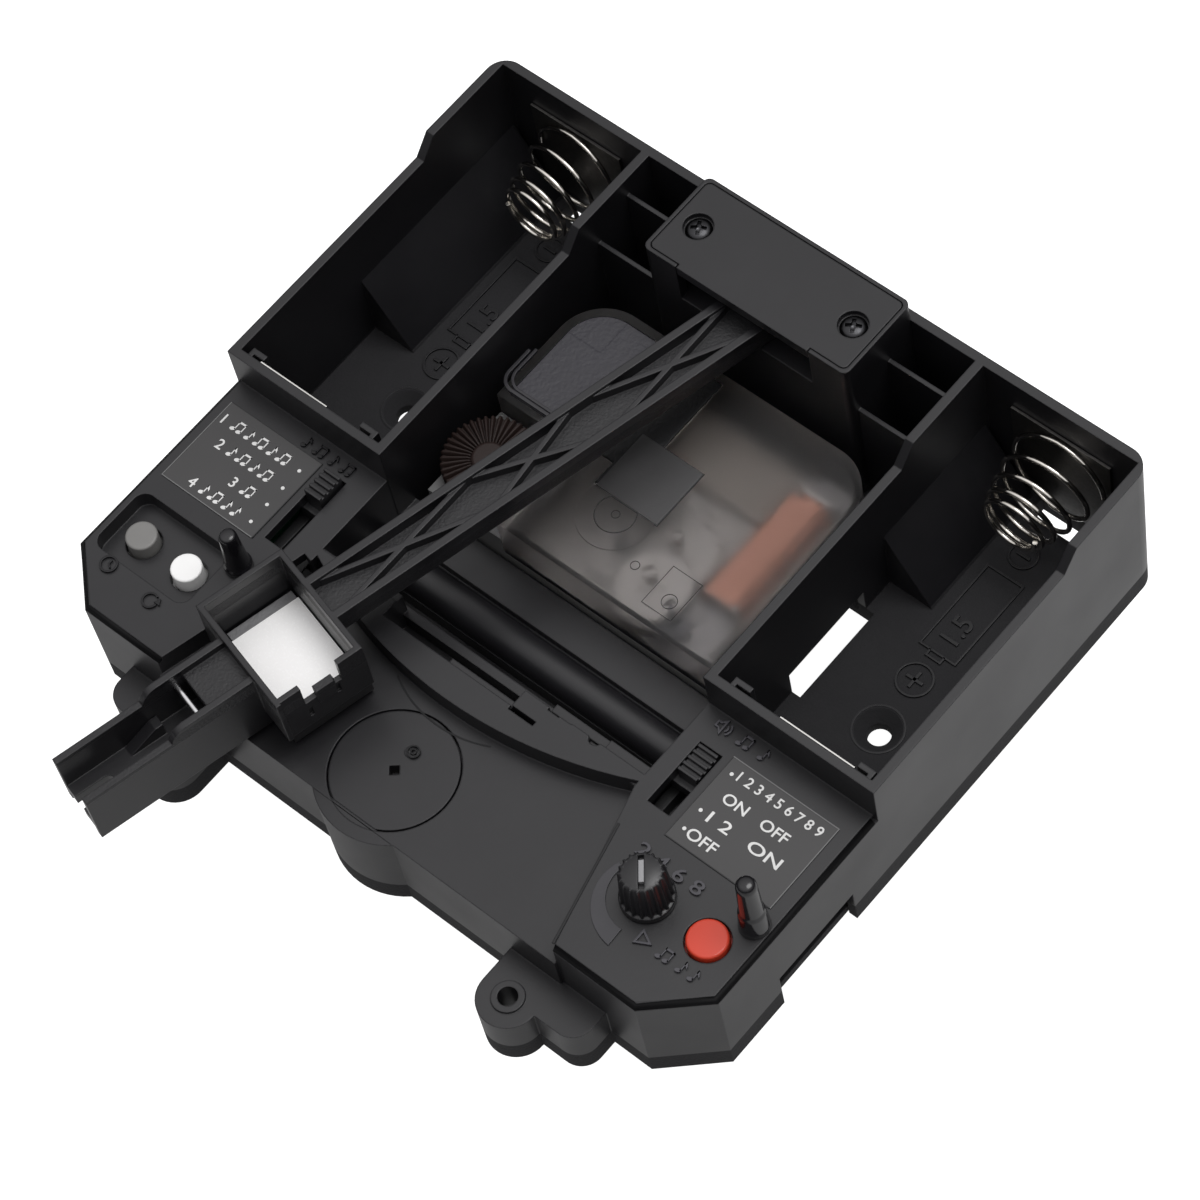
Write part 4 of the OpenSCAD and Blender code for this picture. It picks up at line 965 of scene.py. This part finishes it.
class CLOCK_OT_labels(bpy.types.Operator):
    """Finishes the two labels and prints figures and signs on them"""
    bl_idname = "clock.labels"
    bl_label = "Labels"

    def execute(self, context):
        sheet = moulded("Label film", (0.04, 0.039, 0.0395), rough=0.42, grain=0.2,
                        depth=0.001, radius=0.05, edge_lift=1.6, wear=0.1)
        paint(sheet, "tune_label", "sound_label")
        ink = printed("White print", (0.72, 0.72, 0.71), rough=0.5, wear=0.05, radius=0.02)
        piece("tune_print", join("tune print", self.tune_prints()), ink, "case")
        piece("sound_print", join("sound print", self.sound_prints()), ink, "case")
        self.edges()
        return {"FINISHED"}

    def tune_prints(self):
        """Figures 1 to 4, each with a row of notes and a dot."""
        low, high = LABEL_PRINT
        # each row: start, base line, height of its dot
        rows = ((-59.2, -23.3, -22.5), (-56.6, -27.0, -26.2), (-50.4, -30.7, -29.7),
                (-55.5, -34.3, -33.3))
        prints = []
        for k, (start, base, level) in enumerate(rows):
            prints.append(lettering(str(k + 1), 2.5, (start, base), low, PRINT_DEPTH))
            x, step = start + 2.4, 0
            while x < -45.4:
                pair = (step + k) % 2 == 0 and x < -47.0
                prints += note(x, base, 1.95, low, high, pair)
                x += 2.85 if pair else 1.8
                step += 1
            prints.append(dot((-43.05, level), 0.3, LABEL_PRINT))
        return prints

    def sound_prints(self):
        """Plain figures and the words ON and OFF, with dots."""
        prints = []
        for text, size, spot, wide in (
                ("1 2 3 4 5 6 7 8 9", 2.3, (42.2, -23.3), 15.2),
                ("ON   OFF", 2.5, (42.6, -27.1), 11.6), ("1 2   ON", 2.6, (42.8, -30.8), 13.0),
                ("OFF", 2.6, (42.0, -34.4), 5.1)):
            prints.append(fitted(text, size, spot, wide, LABEL_PRINT[0], PRINT_DEPTH))
        for spot in ((41.2, -22.9), (41.3, -29.9), (41.3, -33.5)):
            prints.append(dot(spot, 0.3, LABEL_PRINT))
        return prints

    def edges(self):
        """A lit and a shaded line along the border of each label."""
        low, high = LABEL_PRINT
        pale = printed("Label edge", (0.14, 0.14, 0.14), wear=0.1, radius=0.02)
        dark = printed("Label groove", (0.008, 0.008, 0.009), rough=0.5, radius=0.02)
        frames = (("tune", (-59.6, -41.05, -35.25, -19.55)),
                  ("sound", (39.65, 58.85, -35.85, -20.55)))
        for label, (x0, x1, y0, y1) in frames:
            light = line([(x0, y1), (x1, y1), (x1, y0)], 0.16, low, high)
            shade = line([(x0, y1 - 0.1), (x0, y0), (x1 - 0.1, y0)], 0.16, low, high)
            if label == "tune":
                light, shade = shade, light
            piece(label + "_edge_light", light, pale, "case")
            piece(label + "_edge_dark", shade, dark, "case")


class CLOCK_OT_marks(bpy.types.Operator):
    """Raises the signs and outlines on the case"""
    bl_idname = "clock.marks"
    bl_label = "Raised signs"

    def execute(self, context):
        # Painted light: right panel signs lit all over, the others a strong painted edge
        # highlight
        lit = black_finish("Worn raised signs", 5.5, rough=0.34, grain=0.3, depth=0.002,
                           radius=0.14, edge_lift=1.6)
        finish = black_finish("Raised signs", 0.5, rough=0.3, grain=0.3, depth=0.002,
                              radius=0.14, edge_lift=16.0, shine=0.35)
        left, right = self.panel_signs()
        piece("panel_signs_left", join("signs", left), finish, "case")
        piece("panel_signs_right", join("signs", right), lit, "case")
        bays = self.bay_outline(-1) + self.bay_outline(1)
        piece("bay_signs", join("bays", bays), finish, "case")
        self.volume_wedge()
        self.deck_marks()
        return {"FINISHED"}

    def volume_wedge(self):
        """The wedge by the knob, which grows from 1 to 3 mm wide along its arc."""
        # Painted sheen: the wedge is coloured lighter than the case
        painted_sheen = black_finish("Volume wedge", 3.2, rough=0.3, grain=0.3, depth=0.002,
                                radius=0.1)
        steps, start, sweep = 24, 166, 106
        inner = circle_points(KNOB_SPOT, 6.0, steps, start, start + sweep)
        outer = []
        for k in range(steps + 1):
            a = math.radians(start + sweep * k / steps)
            r = 7.0 + 2.0 * k / steps
            outer.append((KNOB_SPOT[0] + r * math.cos(a), KNOB_SPOT[1] + r * math.sin(a)))
        piece("volume_wedge", slab(inner + outer[::-1], 20.6, 20.95), painted_sheen, "case")

    def deck_marks(self):
        """Painted shadow in the seams and rings of the deck and behind the left window, the
        panels' sloping edge and the cap's flat side.
        """
        seam = printed("Seam shadow", (0.004, 0.004, 0.005), rough=0.6)
        lines = [line([(-7.6, -59.42), (7.6, -59.42)], 0.12, *DECK_LINES),
                 line([(-3.9, -58.98), (3.9, -58.98)], 0.12, 16.75, 16.85),
                 line(circle_points((0.0, -21.0), 20.0, 40, 240, 296), 0.3, *DECK_LINES),
                 ring((0.4, -46.4), 0.95, 0.22, (16.75, 17.25), 24),
                 ring((0.4, -46.4), 0.4, 0.2, (16.75, 17.25), 24),
                 line([(33.3, -38.4), (35.6, -48.2), (38.0, -58.2)], 0.4, *PANEL_FLAT)]
        piece("deck_seams", join("seams", lines), seam, "case")
        # Painted shade: the sloping edge is coloured darker than the case
        shadow = black_finish("Panel edge", 0.3, rough=0.5, grain=0.3, depth=0.003,
                              edge_lift=1.5, wear=0.1, shine=0.12)
        piece("panel_edge", self.panel_edge(), shadow, "case", True)
        # A dark sheet behind the small left window, painted shadow over what shows through it
        piece("window_back", slab(box_points(-34.5, -29.5, -36.5, -32.3), 14.0, 14.6), seam,
              "case")
        segment = sorted(p for p in circle_points(CAP_SPOT, 9.98, 180) if p[1] < -59.0)
        piece("cap_flat", slab(segment, 16.7, DECK_LINES[1]), black_plastic(), "case")

    def panel_edge(self):
        """Sloping edge between the control panels and the outer wall."""
        inner = [(61.15, -16.5), (61.15, -50.9), (52.9, -58.05), (38.3, -58.05)]
        outer = [(61.95, -16.5), (61.95, -51.1), (53.4, -58.85), (38.3, -58.85)]
        bm = bmesh.new()
        for side in (1, -1):
            # inner edge bottom and top, then the outer edge's top and bottom
            rows = [[bm.verts.new((x * side, y, z)) for x, y in points]
                    for points, z in ((inner, 19.78), (inner, 20.72), (outer, 19.82),
                                      (outer, 19.78))]
            for a, b in zip(rows, rows[1:] + rows[:1]):
                for k in range(3):
                    bm.faces.new((a[k], a[k + 1], b[k + 1], b[k]))
            for k in (0, 3):
                bm.faces.new([row[k] for row in rows])
        return tidy_mesh(bm, "edge")

    def panel_signs(self):
        """Notes, a horn, figures, a clock face and a round arrow, left and right."""
        z0, z1 = PANEL_SIGNS
        left, right = [], horn(34.4, -18.9, 2.1, z0, z1)
        for k, x in enumerate((-46.0, -43.8, -40.6, -38.4)):
            left += note(x, -19.1, 2.0, z0, z1, k % 2 == 1)
        for x, y, pair in ((38.4, -18.9, True), (42.4, -18.9, False), (50.6, -51.2, True),
                           (54.2, -51.2, False), (56.4, -51.2, False)):
            right += note(x, y, 2.1, z0, z1, pair)
        right.append(fitted("2 4 6 8", 3.1, (38.0, -40.6), 11.7, z0, z1 - z0))
        play = [(47.0, -51.2), (49.0, -50.15), (47.0, -49.1)]
        right.append(line(play, 0.32, z0, z1, closed=True))
        # clock face by the grey button
        left.append(ring((-55.4, -51.4), 1.3, 0.3, PANEL_SIGNS, 32))
        left.append(line([(-55.4, -50.6), (-55.4, -51.4), (-54.8, -51.8)], 0.26, z0, z1))
        # round arrow by the white button
        left.append(line(circle_points((-46.1, -52.2), 1.2, 28, 60, 360), 0.3, z0, z1))
        left.append(slab([(-45.4, -52.1), (-44.3, -52.1), (-44.85, -51.1)], z0, z1))
        return left, right

    def bay_outline(self, side):
        """Battery outline with its plus and minus signs on a bay floor."""
        z0, z1 = BAY_SIGNS
        x0, x1 = (42.6, 49.1) if side > 0 else (-50.9, -44.4)
        mid, plus, minus, wide = (x0 + x1) / 2, 10.9, 36.8, 0.34
        return [
            line(box_points(x0, x1, 16.3, 32.5), wide, z0, z1, True),
            line([(mid - 1.3, 16.3), (mid - 1.3, 15.2), (mid + 1.3, 15.2),
                  (mid + 1.3, 16.3)], wide, z0, z1),
            ring((mid, plus), 2.8, wide, BAY_SIGNS),
            ring((mid, minus), 2.2, wide, BAY_SIGNS, 36),
            line([(mid - 1.5, plus), (mid + 1.5, plus)], 0.5, z0, z1),
            line([(mid, plus - 1.5), (mid, plus + 1.5)], 0.5, z0, z1),
            line([(mid - 1.2, minus), (mid + 1.2, minus)], 0.5, z0, z1),
            lettering("1.5", 4.6, (mid + 1.5, 18.0), z0, z1 - z0, turn=90.0),
            # round the countersink of the screw hole
            ring((BAY_X * side, 1.4), 3.95, 0.3, (z0, 3.62), 48)]


class CLOCK_OT_metals(bpy.types.Operator):
    """Finishes the screws, pins, plates and contacts"""
    bl_idname = "clock.metals"
    bl_label = "Metal parts"

    def execute(self, context):
        nickel = metal("Nickel plate", (0.72, 0.71, 0.68), rough=0.16,
                       brushed=(0.15, 1.0, 1.0))
        paint(nickel, "battery_contact_left", "battery_contact_right")
        # The spring plates are painted far darker than the nickel contacts, as shade
        paint(metal("Dull nickel", (0.16, 0.155, 0.15), rough=0.35), "spring_plates")
        steel = metal("Bright steel", (0.74, 0.74, 0.75), rough=0.2)
        paint(steel, "suspension_pin", "hook_pin", "minute_shaft", "cover_screws",
              "key_switches", "volume_control")
        inner = metal("Dull steel", (0.4, 0.39, 0.39), rough=0.6)
        paint(inner, "quartz_crystal", "stator")
        # The slide switch bodies are painted black, the shade seen in their slots
        paint(moulded("Switch body", (0.012, 0.012, 0.013), rough=0.5), "tune_switch_body",
              "sound_switch_body")
        self.plate_over_magnet()
        self.screws(metal("Blackened screw", (0.05, 0.05, 0.053), rough=0.3))
        paint(metal("Brass", (0.72, 0.52, 0.2), rough=0.24), "dial_bush")
        paint(moulded("Ferrite", (0.2, 0.2, 0.205), rough=0.5, grain=0.5, depth=0.12),
              "pendulum_magnet")
        return {"FINISHED"}

    def plate_over_magnet(self):
        """Plate over the magnet painted white as a painted reflection, slightly uneven in tone
        and gloss.
        """
        material, tree, shader = new_material("White plate")
        place = place_in(tree)
        cloud = spread(tree, noise(tree, place, 120.0, 3.0), 0.3, 0.7)
        # Painted reflection: the plate's white colour
        tone = blend_colour(tree, cloud, rgba((0.97, 0.965, 0.955)),
                            rgba((0.93, 0.925, 0.915)))
        gloss = spread(tree, noise(tree, place, 2500.0, 2.0), 0.3, 0.7, 0.2, 0.3)
        fill(tree, shader, {"Base Color": tone, "Roughness": gloss})
        paint(material, "magnet_plate")

    def screws(self, finish):
        """The two screws of the lid: domed heads with a cross recess."""
        top = 35.45
        head = lathe([(0.0, top), (0.7, top - 0.03), (1.4, top - 0.17), (1.85, top - 0.42),
                      (2.1, top - 0.75), (2.1, 34.6), (0.9, 34.6), (0.9, 28.9), (0.0, 28.9)],
                     (0.0, 0.0), 48)
        arms = [move(slab(box_points(-1.25, 1.25, -0.3, 0.3), top - 0.75, top + 0.5),
                     0.0, 0.0, turn=turn) for turn in (30, 120)]
        arms.append(lathe([(0.0, top - 1.0), (0.5, top - 0.8), (0.62, top + 0.3),
                           (0.0, top + 0.3)], (0.0, 0.0), 24))
        head = move(cut(head, arms), LID_SCREW_X, 0.0)
        pair = move(round_copies(head, 2, finish, "screws"), 0.0, PIVOT_Y)
        obj = piece("lid_screw_heads", pair, finish, "case", True)
        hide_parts("lid_screws")
        shade_flat_edges(obj)


class CLOCK_OT_springs(bpy.types.Operator):
    """Winds the two battery springs"""
    bl_idname = "clock.springs"
    bl_label = "Battery springs"

    def execute(self, context):
        values = looks().springs
        wire = metal("Spring wire", (0.7, 0.67, 0.62), rough=0.08, depth=0.001)
        tree = spring_tree()
        for label, side in (("left", -1.0), ("right", 1.0)):
            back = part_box("battery_spring_" + label)[1][1] / MM
            mesh = grown(tree, {"Turns": values.turns, "Wire": values.wire / 2,
                                "Large radius": values.large, "Small radius": values.small,
                                "Length": values.length - values.wire, "Side": side,
                                "Material": wire}, "spring")
            move(mesh, side * BAY_X, back - values.wire / 2, SPRING_HEIGHT)
            obj = piece("battery_spring_coil_" + label, mesh, wire, "case", True)
            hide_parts("battery_spring_" + label)
        return {"FINISHED"}


class CLOCK_OT_module(bpy.types.Operator):
    """Finishes the clock module with its smoked cover, wheels and motor"""
    bl_idname = "clock.module"
    bl_label = "Clock module"

    def execute(self, context):
        values = looks().finish
        paint(smoky("Smoked cover", values.smoke), "module_cover")
        paint(moulded("Module base", (0.12, 0.12, 0.12), grain=0.4), "module_base")
        nylon = moulded("Nylon", (0.5, 0.48, 0.46), rough=0.42, grain=0.2, depth=0.003,
                        edge_lift=1.1)
        paint(nylon, "middle_plate", "hour_wheel", "transfer_wheel", "centre_wheel",
              "third_wheel", "second_wheel", "first_wheel", "motor_bobbin", "drive_bobbin")
        paint(metal("Magnet", (0.2, 0.2, 0.21), rough=0.4), "rotor")
        paint(wound("Motor winding", values.copper, Y), "motor_coil")
        self.outer_winding(values.copper)
        paint(wound("Drive winding", values.copper, Z), "drive_coil")
        paint(moulded("Circuit board", (0.015, 0.09, 0.04), rough=0.3, grain=0.3),
              "main_board")
        paint(moulded("Paper board", (0.3, 0.27, 0.24), rough=0.5), "module_board")
        paint(moulded("Speaker basket", (0.03, 0.03, 0.03), rough=0.5), "speaker")
        brown = moulded("Setting wheel", values.brown, rough=0.42, grain=0.3, edge_lift=1.6,
                        shine=0.25)
        paint(brown, "setting_wheel")
        self.pleats(brown)
        self.plate_trim()
        self.cover_marks()
        return {"FINISHED"}

    def cover_marks(self):
        """Lines moulded in the smoked cover, drawn dark as painted shadow, and a bare field."""
        shade = printed("Cover line", (0.03, 0.03, 0.032))
        lines = [line([(-5.6, 2.0), (6.25, 2.0), (6.25, 13.0)], 0.14, 20.35, 20.46),
                 line(box_points(12.6, 18.1, -9.0, -1.7), 0.1, 20.45, 20.52, True),
                 ring((0.0, 0.0), 3.2, 0.16, COVER_RINGS, 48),
                 ring((15.9, -6.6), 1.2, 0.12, COVER_RINGS, 32),
                 ring((7.9, -4.9), 0.7, 0.12, COVER_DOTS, 24),
                 ring((0.0, 0.0), 0.65, 0.1, COVER_DOTS, 24)]
        piece("cover_lines", join("lines", lines), shade, "case")
        field = moulded("Bare field", (0.035, 0.034, 0.035), rough=0.35, grain=0.5, depth=0.01)
        piece("bare_field", slab(box_points(-5.6, 6.15, 2.1, 12.9), 20.4, 20.56), field,
              "case")

    def outer_winding(self, copper):
        """The wide outer layers of the motor coil, which glow through the smoked cover."""
        x, z, wide, high = 18.7, 11.3, 3.234, 3.1
        corners = [(x + a * wide, z + b * high)
                   for a, b in ((-1, -0.6), (-0.7, -1), (0.7, -1), (1, -0.6), (1, 0.6),
                                (0.7, 1), (-0.7, 1), (-1, 0.6))]
        ends = [[(u, y, w) for u, w in corners] for y in (0.2, 20.4)]
        piece("outer_winding", loft(ends, "winding"), wound("Outer winding", copper, Y), "case")

    def plate_trim(self):
        """Stepped rim round the rounded corner of the textured plate."""
        # Painted highlight along the rim's edges, five times its colour
        finish = black_finish("Plate rim", 2.0, rough=0.22, grain=0.4, depth=0.002,
                              radius=0.15, edge_lift=5.0)
        bend = circle_points((-26.4, 9.4), 2.5, 12, 180, 270)
        path = [(-28.9, 14.0)] + bend + [(-9.0, 6.9)]
        inner = [(x + 0.75, y + 0.75) for x, y in path]
        rims = [line(path, 0.5, 20.3, 20.95), line(inner, 0.45, 20.3, 20.8)]
        piece("plate_rim", join("rim", rims), finish, "case")

    def pleats(self, finish):
        """Radial pleats with rounded ends on the face of the setting wheel, and its hub."""
        count = looks().wheel.pleats
        low, crest = 18.3, 19.15
        rows = []
        for r, width, rise in ((2.4, 0.8, 0.55), (3.2, 0.84, 0.9), (5.2, 0.88, 1.0),
                               (6.8, 0.9, 1.0), (7.2, 0.7, 0.9), (7.42, 0.35, 0.6)):
            half = r * math.tan(math.pi / count) * width
            top = low + (crest - low) * rise
            flank = low + (top - low) * 0.55
            rows.append([(r, -half, low), (r, -half * 0.72, flank), (r, -half * 0.3, top - 0.06),
                         (r, half * 0.3, top - 0.06), (r, half * 0.72, flank), (r, half, low)])
        wheel = round_copies(loft(rows, "pleat"), count, finish, "pleats")
        hub = lathe([(0.0, 19.2), (2.3, 19.2), (2.62, 19.0), (2.7, 18.7), (2.7, 18.3),
                     (0.0, 18.3)], (0.0, 0.0), 48)
        both = move(join("pleats", [wheel, hub]), *WHEEL_SPOT)
        obj = piece("setting_wheel_pleats", both, finish, NODE_BODY["setting_wheel"],
                    True)
        shade_flat_edges(obj, 25.0)


OPERATORS = (CLOCK_OT_stage, CLOCK_OT_mouldings, CLOCK_OT_keys, CLOCK_OT_labels,
             CLOCK_OT_marks, CLOCK_OT_metals, CLOCK_OT_springs, CLOCK_OT_module)


class CLOCK_PT_panel(bpy.types.Panel):
    """Lists the steps that finish the clock movement"""
    bl_idname = "CLOCK_PT_panel"
    bl_label = "Clock movement"
    bl_space_type = "VIEW_3D"
    bl_region_type = "UI"
    bl_category = "Clock"

    def draw(self, context):
        for operator in OPERATORS:
            self.layout.operator(operator.bl_idname)
        for group in ("stage", "finish", "springs", "wheel"):
            box = self.layout.box()
            settings = getattr(context.scene.clock_looks, group)
            for key in settings.__annotations__:
                box.prop(settings, key)


CLASSES = (ClockStage, ClockFinish, ClockSprings, ClockWheel, ClockLooks) + OPERATORS + (
    CLOCK_PT_panel,)


def register():
    for cls in CLASSES:
        bpy.utils.register_class(cls)
    bpy.types.Scene.clock_looks = PointerProperty(type=ClockLooks)


def unregister():
    del bpy.types.Scene.clock_looks
    for cls in reversed(CLASSES):
        bpy.utils.unregister_class(cls)


def main():
    register()
    for operator in OPERATORS:
        area, name = operator.bl_idname.split(".")
        getattr(getattr(bpy.ops, area), name)()


if __name__ == "__main__":
    main()
